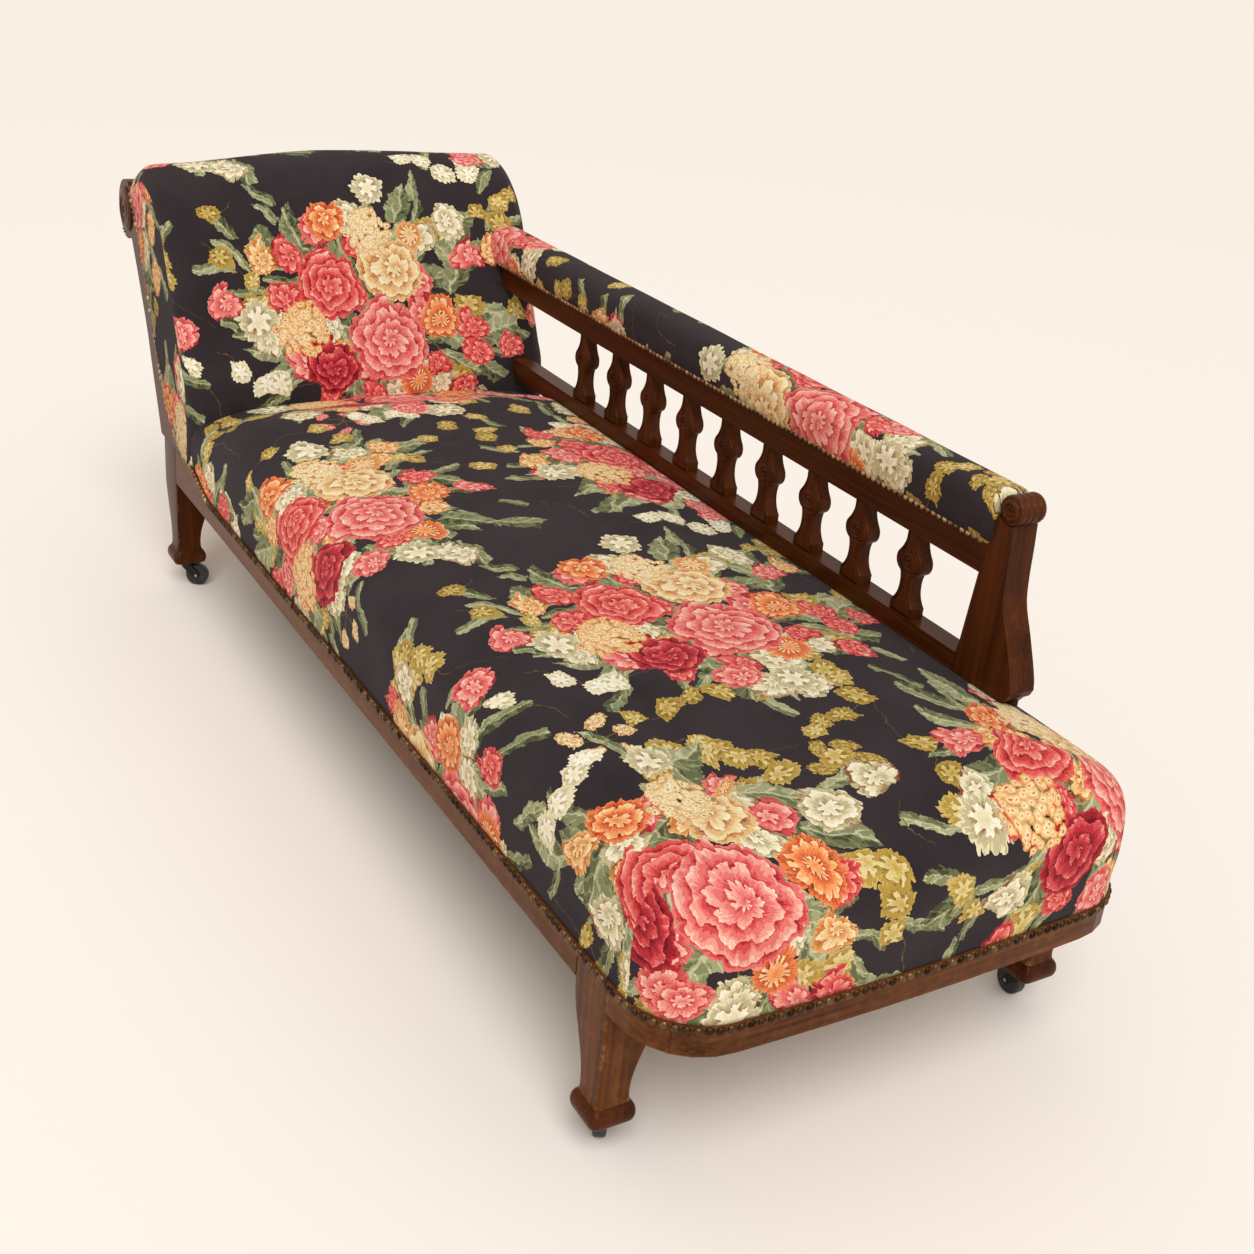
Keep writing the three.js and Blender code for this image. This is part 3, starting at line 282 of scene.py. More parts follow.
def wood(name, along, tones, shine, rubbed):
    """Wood whose grain runs along one axis, 0 for X, 1 for Y and 2 for Z; rubbed is its edge wear."""
    material, w = new_material(name, Specular_IOR_Level=0.09)
    place = w.read("ShaderNodeTexCoord", "Object").parts
    turned = w.join(*[place[(along + i) % 3] for i in range(3)])
    figure, pores, scuffs, chips = w.use(grain_group, place=turned)
    dark, mid, light, worn = tones
    colour = w.mix(pores * 0.35, w.ramp(figure, [(0.30, *dark), (0.50, *mid), (0.72, *light)]), dark)
    chips = w.math("MULTIPLY", chips - (0.75 - 0.10 * rubbed), 12.0, clamp=True)
    wear = w.math("MAXIMUM", scuffs * rubbed, chips * (0.5 + 0.4 * rubbed))
    w.surface(Base_Color=w.mix(wear, colour, worn), Roughness=figure * 0.16 + (wear * 0.2 + (shine - 0.08)))
    w.relief(figure - pores, 0.4, 0.0004)
    return material


def face_and_arris(name, tones, shine, arris_shine):
    """For each way of the grain, a wood's finish on its faces and the rubbed one on its arrises."""
    return {
        way: (wood(f"{name}_{way}", i, tones, shine[0], shine[1]),
              wood(f"{name}_{way}_arris", i, tones, arris_shine, 0.45))
        for i, way in enumerate(wood_ways)
    }


# A darker copy of the same walnut, as painted shade. The gallery, stiles, post, knob, balusters, roundels,
# head end legs and foot cushions take it.
painted_shade_walnut_tones = [tuple(level * share for level, share in zip(tone, gallery_painted_shade)) for tone in walnut_tones]
walnut = face_and_arris("walnut", walnut_tones, (0.34, 0.10), 0.40)
dark = face_and_arris("gallery", painted_shade_walnut_tones, (0.30, 0.0), 0.36)


def smooth_shaded(mesh, sharp=None):
    """Shades a mesh smooth, but for edges of more than sharp degrees."""
    for face in mesh.polygons:
        face.use_smooth = True
    if sharp:
        mesh.set_sharp_from_angle(angle=math.radians(sharp))


def dressed(piece, finishes):
    """Gives a CAD piece its finishes in place of its own."""
    piece.data.materials.clear()
    for finish in finishes:
        piece.data.materials.append(finish)


def finish_wood(names, finishes, ease=edge_ease, curved=False):
    """Gives CAD pieces their face finish, and rounded arrises with the finish of their own."""
    for name in names:
        dressed(nodes[name], finishes)
        bevel = nodes[name].modifiers.new("eased_arris", "BEVEL")
        bevel.width = ease
        bevel.segments = 2
        bevel.limit_method = "ANGLE"
        bevel.angle_limit = math.radians(28)
        bevel.harden_normals = not curved
        bevel.material = len(finishes) - 1
        smooth_shaded(nodes[name].data)


seat_rail_names = ["front_seat_rail", "back_seat_rail"]
foot_rail_names = ["foot_rail_corner_front", "foot_rail_corner_back", "foot_rail_middle"]
stile_names = ["head_stile_front", "head_stile_back"]
gallery_names = ["gallery_lower_rail", "gallery_top_rail"]
finish_wood(seat_rail_names, walnut["long"])
finish_wood(foot_rail_names[:2], walnut["long"], curved=True)
finish_wood([foot_rail_names[2], "head_seat_rail"], walnut["cross"])
# The gallery rails, the knob, the stiles and the end post take the darker copy of the walnut: painted shade.
finish_wood(gallery_names, dark["long"])
finish_wood(["post_knob"], dark["cross"], knob_ease)
finish_wood([*stile_names, "gallery_end_post"], dark["upright"], stile_ease)

# Legs
# Each leg is one piece of walnut, tapered on its two inner faces. Its foot is carved to a soft
# cushion under a hollow, and bored from below for the castor's pin.

rail_bottom, rebate_z, rail_top = 0.195, 0.237, 0.262
leg_ends = {"foot": 0.865, "head": -0.655}
leg_side = 0.330
foot_width, foot_bottom = 0.052, 0.046
waist_z, waist_inset, waist_width, top_width = 0.086, 0.006, 0.040, 0.068
rebate_depth, rebate_step = 0.005, 0.0002
leg_arris, painted_shade_top = 0.0030, 0.0712
pin_radius, pin_height = 0.0041, 0.066
corner_points, foot_rings, taper_rings = 7, 34, 13
foot_cut = [
    (0.0060, 0.0460, 0.0060), (0.0028, 0.0463, 0.0075), (-0.0004, 0.0484, 0.0086), (-0.0019, 0.0522, 0.0092),
    (-0.0024, 0.0566, 0.0092), (-0.0018, 0.0614, 0.0088), (-0.0002, 0.0656, 0.0078), (0.0024, 0.0688, 0.0064),
    (0.0046, 0.0722, 0.0050), (0.0057, 0.0778, 0.0038), (waist_inset, waist_z, 0.0030),
]


def smooth_through(points, count):
    """Evenly numbered points on a smooth curve through the given ones."""
    given = np.array(points, float)
    ends = np.vstack([2 * given[0] - given[1], given, 2 * given[-1] - given[-2]])
    curve = []
    for t in np.linspace(0, len(given) - 1, count):
        i = min(int(t), len(given) - 2)
        a, b, c, d = ends[i:i + 4]
        s = t - i
        bend = (2 * a - 5 * b + 4 * c - d) * s**2 + (3 * b - a - 3 * c + d) * s**3
        curve.append(0.5 * (2 * b + (c - a) * s + bend))
    return np.array(curve)


def eased(t):
    kept = np.clip(t, 0, 1)
    return kept * kept * (3 - 2 * kept)


def ring_faces(rings, count, first=0):
    """The faces between rings of count points each, numbered from first."""
    return [
        (a + i, a + (i + 1) % count, a + count + (i + 1) % count, a + count + i)
        for a in range(first, first + (rings - 1) * count, count) for i in range(count)
    ]


def end_faces(rings, count):
    """The faces that close the first and the last of such rings."""
    return [tuple(range(count)), tuple(range((rings - 1) * count, rings * count))]


def face_outwards(mesh):
    """Turns all faces of a closed mesh outwards."""
    helper = bmesh.new()
    helper.from_mesh(mesh)
    bmesh.ops.recalc_face_normals(helper, faces=helper.faces)
    helper.to_mesh(mesh)
    helper.free()


def solid_mesh(name, verts, faces, finishes, sharp):
    """A closed mesh, smooth but for edges of more than sharp degrees."""
    mesh = bpy.data.meshes.new(name)
    mesh.from_pydata([tuple(v) for v in verts], [], faces)
    face_outwards(mesh)
    smooth_shaded(mesh, sharp)
    for finish in finishes:
        mesh.materials.append(finish)
    return mesh


def round_box(x0, x1, y0, y1, radius, z):
    """A level ring round a box in plan, with round corners."""
    x0, x1, y0, y1 = x0 + radius, x1 - radius, y0 + radius, y1 - radius
    return [
        (x + radius * math.cos(a), y + radius * math.sin(a), z)
        for k, (x, y) in enumerate([(x1, y1), (x0, y1), (x0, y0), (x1, y0)])
        for a in np.linspace(math.pi / 2 * k, math.pi / 2 * (k + 1), corner_points)
    ]


def leg_mesh(end, side):
    """A leg at one end and on one side, -1 front or 1 back."""
    middle_x, middle_y = leg_ends[end] - foot_width / 2, leg_side - foot_width / 2
    step = math.pi / 2 / corner_points
    turns = [math.pi / 4 + (k - (corner_points - 1) / 2) * step for k in range(4 * corner_points)]
    rings = [
        [(middle_x + pin_radius * math.cos(a), middle_y + pin_radius * math.sin(a), z) for a in turns]
        for z in (pin_height, foot_bottom)
    ]
    for inset, z, radius in smooth_through(foot_cut, foot_rings):
        x1, y1, width = leg_ends[end] - inset, leg_side - inset, foot_width - 2 * inset
        rings.append(round_box(x1 - width, x1, y1 - width, y1, radius, z))
    x1, y1 = leg_ends[end] - waist_inset, leg_side - waist_inset
    for z in np.linspace(waist_z, rail_bottom, taper_rings)[1:]:
        width = waist_width + (top_width - waist_width) * eased((z - waist_z) / (rail_bottom - waist_z))
        rings.append(round_box(x1 - width, x1, y1 - width, y1, leg_arris, z))
    x0, y0 = x1 - top_width, y1 - top_width
    if end == "foot":
        rings.append(round_box(x0, x1, y0, y1, leg_arris, rebate_z))
        y1 -= rebate_depth
        rings.append(round_box(x0, x1, y0, y1, leg_arris, rebate_z + rebate_step))
    rings.append(round_box(x0, x1, y0, y1, leg_arris, rail_top))
    count = len(turns)
    verts = [(x, side * y, z) for ring in rings for x, y, z in ring]
    faces = end_faces(len(rings), count) + ring_faces(len(rings), count)
    # The head end's legs take the darker copy of the walnut as painted shade. On every leg the foot's
    # cushion, up to just above its top, takes it too.
    finishes = (*(walnut if end == "foot" else dark)["upright"], dark["upright"][0])
    mesh = solid_mesh("leg", verts, faces, finishes, 42)
    for face in mesh.polygons[2:]:
        on_corner = (face.index - 2) % count % corner_points < corner_points - 1
        face.material_index = 2 if face.center.z < painted_shade_top else int(on_corner)
    return mesh


for end in leg_ends:
    for label, side in (("front", -1), ("back", 1)):
        leg = placed(f"carved_leg_{end}_{label}", leg_mesh(end, side))
        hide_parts(f"leg_{end}_{label}")
        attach(leg, "frame")

# Inner frame
# The rails and bars that the stuffing hides are plain unstained beech, sawn and left rough.

beech_tones = ((0.28, 0.16, 0.075), (0.42, 0.27, 0.14), (0.55, 0.38, 0.21), (0.62, 0.47, 0.29))
beech_cross = wood("beech_cross", 1, beech_tones, 0.72, 0.2)
beech_upright = wood("beech_upright", 2, beech_tones, 0.72, 0.2)
finish_wood(["foot_cross_rail", "foot_deck", "head_middle_bar", "head_scroll_bar"], (beech_cross,))
finish_wood(["gallery_upright"], (beech_upright,))

# Balusters
# Nine flat fretted balusters stand between the gallery rails. Each is cut with a gouge: a fine
# groove follows its outline, and the lobes carry a turned rosette with a sunk eye.

baluster_first, baluster_pitch, baluster_total = -0.302, 0.107, 9
baluster_base, baluster_height = 0.4183, 0.1114
baluster_front, baluster_thickness = 0.252, 0.020
plinth_height, plinth_half = 0.014, 0.0215
hollow_height, hollow_half, hollow_edge = 0.042, 0.0102, 0.0205
cap_height, cap_half = 0.009, 0.011
lobe_height, lobe_out, lobe_radius = 0.071, 0.008, 0.016
lobe_from, lobe_to = math.radians(-72), math.radians(44)
rounding, groove_sharpness, end_room = 0.0016, 2.2, 0.004
slope_step, steepest = 0.0006, 2.5
groove_in, groove_width, groove_depth = 0.0042, 0.0016, 0.0021
rosette_radius, rosette_relief = 0.0104, 0.0012
ring_radius, ring_width, ring_depth = 0.0068, 0.0012, 0.0026
eye_radius, eye_depth = 0.0036, 0.0040


def baluster_half(z):
    """Half the baluster's width at a height above its foot."""
    lobe_low, lobe_high = (lobe_height + lobe_radius * math.sin(a) for a in (lobe_from, lobe_to))
    if z < plinth_height:
        return plinth_half
    if z < hollow_height:
        up = (z - plinth_height) / (hollow_height - plinth_height)
        return hollow_half + (hollow_edge - hollow_half) * (1 - up) ** 2.6
    if z < lobe_low:
        up = (z - hollow_height) / (lobe_low - hollow_height)
        return hollow_half + (lobe_out + lobe_radius * math.cos(lobe_from) - hollow_half) * up**2
    if z < lobe_high:
        return lobe_out + math.sqrt(lobe_radius**2 - (z - lobe_height) ** 2)
    up = min(1.0, (z - lobe_high) / (baluster_height - cap_height - lobe_high))
    return cap_half + (lobe_out + lobe_radius * math.cos(lobe_to) - cap_half) * (1 - up) ** 1.8


def carved_depth(x, z, half, lean):
    """How far the gouge has cut in at a spot on the baluster's front."""
    inward = min((half - abs(x)) * lean, z + end_room, baluster_height - z + end_room)
    depth = rounding * max(0.0, 1 - inward / rounding) ** 2
    depth += groove_depth * math.exp(-(((inward - groove_in) / groove_width) ** 2) * groove_sharpness)
    out = math.hypot(x, z - lobe_height)
    if out < rosette_radius + 0.002:
        rim = min(1.0, max(0.0, (rosette_radius + 0.001 - out) / 0.0015))
        depth = depth * (1 - rim) - rosette_relief * rim
        depth += ring_depth * math.exp(-(((out - ring_radius) / ring_width) ** 2))
        depth += eye_depth * max(0.0, 1 - (out / eye_radius) ** 2) ** 0.5
    return depth


def slab_faces(rows, columns):
    """The faces of a closed slab between two grids of points, the front's first."""
    below = rows * columns
    faces = []
    for r in range(rows - 1):
        for a in range(r * columns, (r + 1) * columns - 1):
            faces.append((a, a + 1, a + columns + 1, a + columns))
            faces.append((below + a, below + a + columns, below + a + columns + 1, below + a + 1))
        for a in (r * columns, r * columns + columns - 1):
            faces.append((a, a + columns, below + a + columns, below + a))
    for c in range(columns - 1):
        for a in (c, (rows - 1) * columns + c):
            faces.append((a, a + 1, below + a + 1, below + a))
    return faces


heights = sorted({*np.linspace(0, baluster_height, 74), plinth_height - 0.0001, plinth_height + 0.0001})
across = -np.cos(np.linspace(0, math.pi, 37))
front, back = [], []
for z in heights:
    half = baluster_half(z)
    above, below = min(z + slope_step, baluster_height), max(z - slope_step, 0)
    slope = (baluster_half(above) - baluster_half(below)) / (2 * slope_step)
    lean = 1 / math.sqrt(1 + min(abs(slope), steepest) ** 2)
    for x in half * across:
        front.append((x, baluster_front + carved_depth(x, z, half, lean), baluster_base + z))
        back.append((x, baluster_front + baluster_thickness, baluster_base + z))
baluster_faces = slab_faces(len(heights), len(across))
for i in range(baluster_total):
    # The balusters take the darker copy of the walnut: painted shade.
    mesh = solid_mesh("baluster", front + back, baluster_faces, (dark["upright"][0],), 50)
    mesh.transform(Matrix.Translation((baluster_first + baluster_pitch * i, 0, 0)))
    baluster = placed(f"carved_baluster_{i + 1}", mesh)
    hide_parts(f"baluster_{i + 1}")
    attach(baluster, "frame")

# Printed cloth
# A stout cotton tapestry: a dark aubergine ground printed in a half drop with loose bunches of
# garden flowers in coral, pink, peach and cream, with sage leaves and ochre plumes.

drop_along, drop_across = 0.98, 0.54
ground_dark, ground_light, twig = (0.0180, 0.0118, 0.0143), (0.043, 0.0300, 0.0345), (0.13, 0.085, 0.03)
dyes = {
    "crimson": [
        (0.0, 0.14, 0.004, 0.010), (0.22, 0.30, 0.012, 0.020), (0.42, 0.48, 0.026, 0.040),
        (0.62, 0.66, 0.070, 0.078), (0.82, 0.80, 0.190, 0.160), (0.94, 0.90, 0.42, 0.33),
    ],
    "coral": [
        (0.0, 0.33, 0.012, 0.018), (0.20, 0.58, 0.040, 0.045), (0.40, 0.75, 0.100, 0.090),
        (0.60, 0.84, 0.22, 0.175), (0.80, 0.92, 0.44, 0.33), (0.93, 0.95, 0.68, 0.51),
    ],
    "pink": [
        (0.0, 0.40, 0.02, 0.03), (0.18, 0.64, 0.070, 0.072), (0.36, 0.79, 0.170, 0.150),
        (0.56, 0.88, 0.33, 0.27), (0.76, 0.93, 0.53, 0.42), (0.92, 0.95, 0.74, 0.59),
    ],
    "orange": [
        (0.0, 0.28, 0.035, 0.010), (0.18, 0.60, 0.100, 0.028), (0.36, 0.82, 0.20, 0.060),
        (0.54, 0.90, 0.36, 0.130), (0.74, 0.94, 0.58, 0.290), (0.90, 0.95, 0.80, 0.520),
    ],
    "peach": [
        (0.0, 0.33, 0.085, 0.02), (0.14, 0.62, 0.20, 0.05), (0.34, 0.79, 0.37, 0.12),
        (0.52, 0.88, 0.57, 0.26), (0.74, 0.93, 0.73, 0.42), (0.90, 0.95, 0.86, 0.62),
    ],
    "cream": [
        (0.0, 0.33, 0.10, 0.035), (0.16, 0.60, 0.27, 0.10), (0.34, 0.79, 0.49, 0.21),
        (0.54, 0.88, 0.68, 0.37), (0.76, 0.92, 0.81, 0.53), (0.92, 0.94, 0.90, 0.72),
    ],
    "white": [
        (0.0, 0.28, 0.075, 0.030), (0.12, 0.40, 0.27, 0.13), (0.26, 0.56, 0.48, 0.27),
        (0.46, 0.83, 0.72, 0.47), (0.68, 0.93, 0.85, 0.64), (0.88, 0.96, 0.92, 0.79),
    ],
    "ochre": [
        (0.0, 0.15, 0.080, 0.012), (0.22, 0.29, 0.170, 0.026), (0.44, 0.46, 0.295, 0.055),
        (0.66, 0.62, 0.44, 0.125), (0.86, 0.77, 0.62, 0.29),
    ],
    "leaf": [
        (0.0, 0.020, 0.022, 0.011), (0.14, 0.060, 0.066, 0.029), (0.30, 0.135, 0.148, 0.064),
        (0.48, 0.235, 0.248, 0.118), (0.68, 0.37, 0.37, 0.195), (0.86, 0.58, 0.55, 0.33),
    ],
}

bunch_group, w, (place,), give = new_group("bunch_place", "Place", "Offset Distance Mark")
repeat = (drop_along, drop_across, 1)
half_drop = (drop_along / 2, drop_across / 2, 0)
on_rows = w.math("SNAP", place + half_drop, repeat)
between = w.math("SNAP", place, repeat) + half_drop
to_row, to_between = place - on_rows, place - between
closer = w.math("LENGTH", to_between) < w.math("LENGTH", to_row)
offset = w.mix(closer, to_row, to_between, "VECTOR")
centre = w.mix(closer, on_rows, between, "VECTOR")
lobes = w.noise(w.math("NORMALIZE", offset) * 0.9 + centre, 1.6, 1.0, 0.5, "2D")
x, y, _ = centre.parts
give(offset, w.math("LENGTH", offset) * (lobes * 1.5 + 0.25), x * 3.7 + y * 9.1)


def voronoi(w, spot, jitter, feature="F1"):
    """The outputs of scattered cells of about one unit."""
    made = w.node("ShaderNodeTexVoronoi", spot, None, 1.0, voronoi_dimensions="2D", feature=feature)
    made.inputs["Randomness"].default_value = jitter
    return [Signal(w, socket) for socket in made.outputs]


def cell_places(w, place, cell, jitter, seed=0.0):
    """Cells scattered over the cloth. Gives the middle of the cell that a spot is in, the cell's three
    chances, how far the spot is from the middle, and the spot, the last two in cells."""
    shift = w.join(seed, seed * 0.7)
    spot = place * (1.0 / cell) + shift
    away, chances, middle, *_ = voronoi(w, spot, jitter)
    return (middle - shift) * cell, chances.parts, away, spot


def dyed(w, tone, dye):
    return w.ramp(tone, dyes[dye], "CONSTANT")


scallop = 0.26
bloom_group, w, (local, radius, petals, rings, twist, turn), give = new_group(
    "bloom", "Local Radius Petals Rings Twist Turn", "Mask Tone"
)
x, y, _ = local.parts
angle = w.math("ARCTAN2", y, x) / (2 * math.pi)
ring = w.math("LENGTH", local) / radius * rings + angle * twist
wedge = (angle + turn) * (petals * math.pi)
odd, even = abs(w.math("SINE", wedge)), abs(w.math("COSINE", wedge))
petal = w.mix(w.math("COSINE", (ring - 0.5) * math.pi) * 0.5 + 0.5, odd, even, "FLOAT")
edge = ring + (petal * (-2 * scallop) + scallop)
edge = edge + (abs(w.math("SINE", wedge * 3.0)) * -0.16 + 0.08)
rise = w.math("FRACT", edge + 0.5)
streaks = w.noise(w.join(wedge * 3.2, edge * 1.3, turn), 1.0, 1.0)
give(edge < rings - 0.5, rise * 0.62 + petal * 0.30 + (streaks * 0.55 - 0.25))

lace_group, w, (local, radius, grain), give = new_group("lace_head", "Local Radius Grain", "Mask Tone")
middle, _, away, _ = cell_places(w, local, grain, 0.7)
out = w.math("LENGTH", local) / radius
inside = w.math("LENGTH", middle) < radius
give(inside * (away < 0.62), away * -1.25 + 1.16 - (away < 0.13) * 0.8 - out * out * 0.16)

bed_group, w, (place, cell, radius, reach, seed, petals, rings, warmth), give = new_group(
    "bloom_bed", "Place Cell Radius Reach Seed Petals Rings Warmth", "Colour Mask"
)
middle, (luck_x, luck_y, luck_z), _, spot = cell_places(w, place, cell, 0.78, seed)
border = voronoi(w, spot, 0.78, "DISTANCE_TO_EDGE")[0]
_, distance, _ = w.use(bunch_group, place=middle)
mask, tone = w.use(
    bloom_group, local=place - middle, radius=radius * (luck_z * 0.35 + 0.80), rings=rings,
    petals=w.math("ROUND", luck_y * 4.0 + petals), twist=luck_y > 0.45, turn=luck_x,
)
tone = tone - w.math("MULTIPLY", 0.09 - border, 4.5, clamp=True)
reds = w.mix(luck_z > 0.5, dyed(w, tone, "coral"), dyed(w, tone, "pink"))
golds = w.mix(luck_z > 0.45, dyed(w, tone, "peach"), dyed(w, tone, "white"))
pick = w.math("FRACT", (luck_x + luck_y) * 5.3)
give(w.mix(pick < warmth, golds, reds), mask * (distance < reach * (luck_x * 0.35 + 0.80)))

leaf_group, w, (place, cell, length, width, reach, seed, stray), give = new_group(
    "leaf_bed", "Place Cell Length Width Reach Seed Stray", "Colour Mask"
)
middle, (luck_x, luck_y, luck_z), _, _ = cell_places(w, place, cell, 0.85, seed)
outward, distance, _ = w.use(bunch_group, place=middle)
out_x, out_y, _ = outward.parts
heading = w.math("ARCTAN2", out_y, out_x) + (luck_y - 0.5) * stray
sine, cosine = w.math("SINE", heading), w.math("COSINE", heading)
run = w.math("DOT_PRODUCT", place - middle, w.join(cosine, sine)) / length
side = w.math("DOT_PRODUCT", place - middle, w.join(sine * -1.0, cosine)) / width
side = side + run * run * 0.35
out = abs(side)
belly = 1.0 - w.math("POWER", abs(run), 1.7)
teeth = w.math("FRACT", run * 3.5) * 0.10
veins = w.math("FRACT", (run - out * 0.35) * 3.5) < 0.16
mottle = w.noise(place, 70.0, 1.0, 0.5, "2D")
tone = (side > 0.0) * 0.26 + 0.24 + luck_z * 0.26 + (mottle * 0.6 - 0.28)
tone = tone + w.math("MAXIMUM", out < 0.085, veins * 0.6) * 0.36
give(dyed(w, tone, "leaf"), (out + teeth < belly) * (distance < reach * (luck_x * 0.45 + 0.65)))

plume_group, w, (place, count, bend, start, reach, breadth, grain, share), give = new_group(
    "plumes", "Place Count Bend Start Reach Breadth Grain Share", "Colour Mask Stem"
)


def plume_path(w, spot, count, bend, start, reach):
    """How far a spot is out along its plume, how far off the plume's line, and the plume's chances."""
    offset, out, mark = w.use(bunch_group, place=spot)
    x, y, _ = offset.parts
    sector = (w.math("ARCTAN2", y, x) / (2 * math.pi) + out * out * bend) * count
    number = w.math("MODULO", w.math("FLOOR", sector) + count * 4.0, count)
    aside = (w.math("FRACT", sector) - 0.5) * (out * (2 * math.pi)) / count
    lot = w.join(number + 0.5, mark)
    luck = w.read("ShaderNodeTexWhiteNoise", "Color", lot, noise_dimensions="2D").parts
    limit = reach * (luck[1] * 0.30 + 0.70)
    return (out - start) / (limit - start), abs(aside), luck


middle, (tint, shade, _), _, _ = cell_places(w, place, grain, 0.72)
done, aside, luck = plume_path(w, middle, count, bend, start, reach)
kept = (aside < breadth * (done * -0.45 + 1.0)) * ((done > 0.0) * (done < 1.0)) * (luck[0] < share)
mask, tone = w.use(
    bloom_group, local=place - middle, radius=grain * (done * -0.26 + 0.86), petals=6.0, rings=1.5,
    twist=0.0, turn=tint,
)
tone = shade * 0.22 + (tone * 0.90 + 0.10)
colour = w.mix(luck[2] > 0.80, dyed(w, tone, "ochre"), dyed(w, tone, "white"))
done, aside, luck = plume_path(w, place, count, bend, start, reach)
stem = (aside < 0.0014) * ((done > -0.5) * (done < 0.97)) * (luck[0] < share)
give(colour, kept * mask, stem)

sprig_group, w, (place, cell, share, seed, size), give = new_group(
    "sprigs", "Place Cell Share Seed Size", "Colour Mask Stem"
)
middle, (luck_x, luck_y, luck_z), _, _ = cell_places(w, place, cell, 1.0, seed)
_, distance, _ = w.use(bunch_group, place=middle)
kept = (luck_x < share) * (distance > 0.20)
x, y, _ = (place - middle).parts
out = w.math("LENGTH", place - middle)
sector = (w.math("ARCTAN2", y, x) / (2 * math.pi) + luck_y + out * 1.5) * 5.0
aside = (w.math("FRACT", sector) - 0.5) * (out * (2 * math.pi / 5))
far = size * (luck_z * 0.5 + 0.75)
mask, tone = w.use(
    bloom_group, local=w.join(out - far, aside), radius=size * 0.52, petals=6.0, rings=2.5, twist=0.0,
    turn=luck_y,
)
first = w.mix(luck_z > 0.68, dyed(w, tone, "ochre"), dyed(w, tone, "cream"))
stem = (abs(aside) < 0.0012) * (out < far)
give(w.mix(luck_y > 0.72, first, dyed(w, tone, "pink")), kept * mask, kept * stem)

print_layers = [
    (sprig_group, dict(cell=0.165, share=0.40, seed=4.0, size=0.030)),
    (leaf_group, dict(cell=0.062, length=0.072, width=0.0095, reach=0.29, seed=7.0, stray=1.1)),
    (leaf_group, dict(cell=0.076, length=0.056, width=0.021, reach=0.245, seed=2.0, stray=1.0)),
    (plume_group, dict(count=8.0, bend=2.2, start=0.16, reach=0.40, breadth=0.027, grain=0.036, share=0.70)),
    (leaf_group, dict(cell=0.078, length=0.058, width=0.026, reach=0.205, seed=11.0, stray=1.8)),
    (bed_group, dict(cell=0.062, radius=0.034, reach=0.215, seed=5.0, petals=5.0, rings=2.5, warmth=0.44)),
]
bunch_blooms = [
    (0.012, -0.196, 0.044, 6.0, 1.5, 0.0, "white"),
    (-0.206, 0.030, 0.040, 5.0, 1.5, 0.0, "white"),
    (0.198, 0.030, 0.040, 6.0, 1.5, 0.0, "white"),
    (0.136, 0.070, 0.040, 13.0, 1.5, 0.0, "orange"),
    (-0.118, 0.088, 0.036, 11.0, 1.5, 0.0, "peach"),
    (0.172, -0.028, 0.032, 7.0, 2.5, 0.0, "pink"),
    (-0.148, -0.058, 0.040, 6.0, 2.5, 0.0, "orange"),
    (0.022, 0.128, 0.042, 12.0, 2.5, 0.0, "orange"),
    (0.096, -0.078, 0.054, 5.0, 3.5, 1.0, "crimson"),
    (-0.062, 0.052, 0.064, 7.0, 3.5, 1.0, "cream"),
    (-0.040, -0.064, 0.062, 5.0, 4.5, 1.0, "coral"),
    (0.058, 0.034, 0.076, 8.0, 4.5, 1.0, "pink"),
]
bunch_laces = [
    (0.030, -0.126, 0.046, 0.0115, "peach"),
    (-0.126, 0.014, 0.042, 0.0105, "cream"),
]
thread_pitch = 0.0021


def print_cloth(name, slide):
    """The printed cloth, with the bunches moved along and across by slide."""
    material, w = new_material(
        name, Roughness=0.86, Sheen_Weight=0.04, Sheen_Roughness=0.45, Specular_IOR_Level=0.12
    )
    flat = w.read("ShaderNodeUVMap", "UV", uv_map="cloth") - (*slide, 0)
    wander = w.noise(flat, 17.0, 2.0, 0.5, "2D", "Color") - (0.5, 0.5, 0.5)
    fray = w.noise(flat, 170.0, 1.0, 0.5, "2D", "Color") - (0.5, 0.5, 0.5)
    place = (flat + wander * 0.030 + fray * 0.0050) * (1, 1, 0)
    colour = w.mix(w.noise(flat, 9.0, 3.0, 0.6, "2D"), ground_dark, ground_light)
    for group, values in print_layers:
        printed, mask, *stem = w.use(group, place=place, **values)
        if stem:
            colour = w.mix(stem[0], colour, twig)
        colour = w.mix(mask, colour, printed)
    offset = w.use(bunch_group, place=place)[0]
    for x, y, size, petals, rings, twist, dye in bunch_blooms:
        mask, tone = w.use(
            bloom_group, local=offset - (x, y, 0), radius=size, petals=petals, rings=rings, twist=twist,
            turn=petals * 0.13 + x * 7,
        )
        colour = w.mix(mask, colour, dyed(w, tone, dye))
    for x, y, size, grain, dye in bunch_laces:
        mask, tone = w.use(lace_group, local=offset - (x, y, 0), radius=size, grain=grain)
        colour = w.mix(mask, colour, dyed(w, tone, dye))
    warp, weft, _ = (flat * (2 * math.pi / thread_pitch)).parts
    weave = w.math("SINE", warp) * w.math("SINE", weft)
    slub = w.noise(flat * (60, 900, 0), 1.0, 1.0, 0.5, "2D")
    shade = weave * 0.10 + (slub * 0.30 + 0.85)
    w.surface(Base_Color=w.mix(1.0, colour, w.join(shade, shade, shade), blend="MULTIPLY"))
    w.relief(weave + slub * 1.2, 0.55, 0.0005)
    return material


# Seat cover
# One piece of the print stretched over the springs and hair, pulled down over a firm edge roll
# and nailed into the rebate of the rails all round. It dips where it goes under the head end.

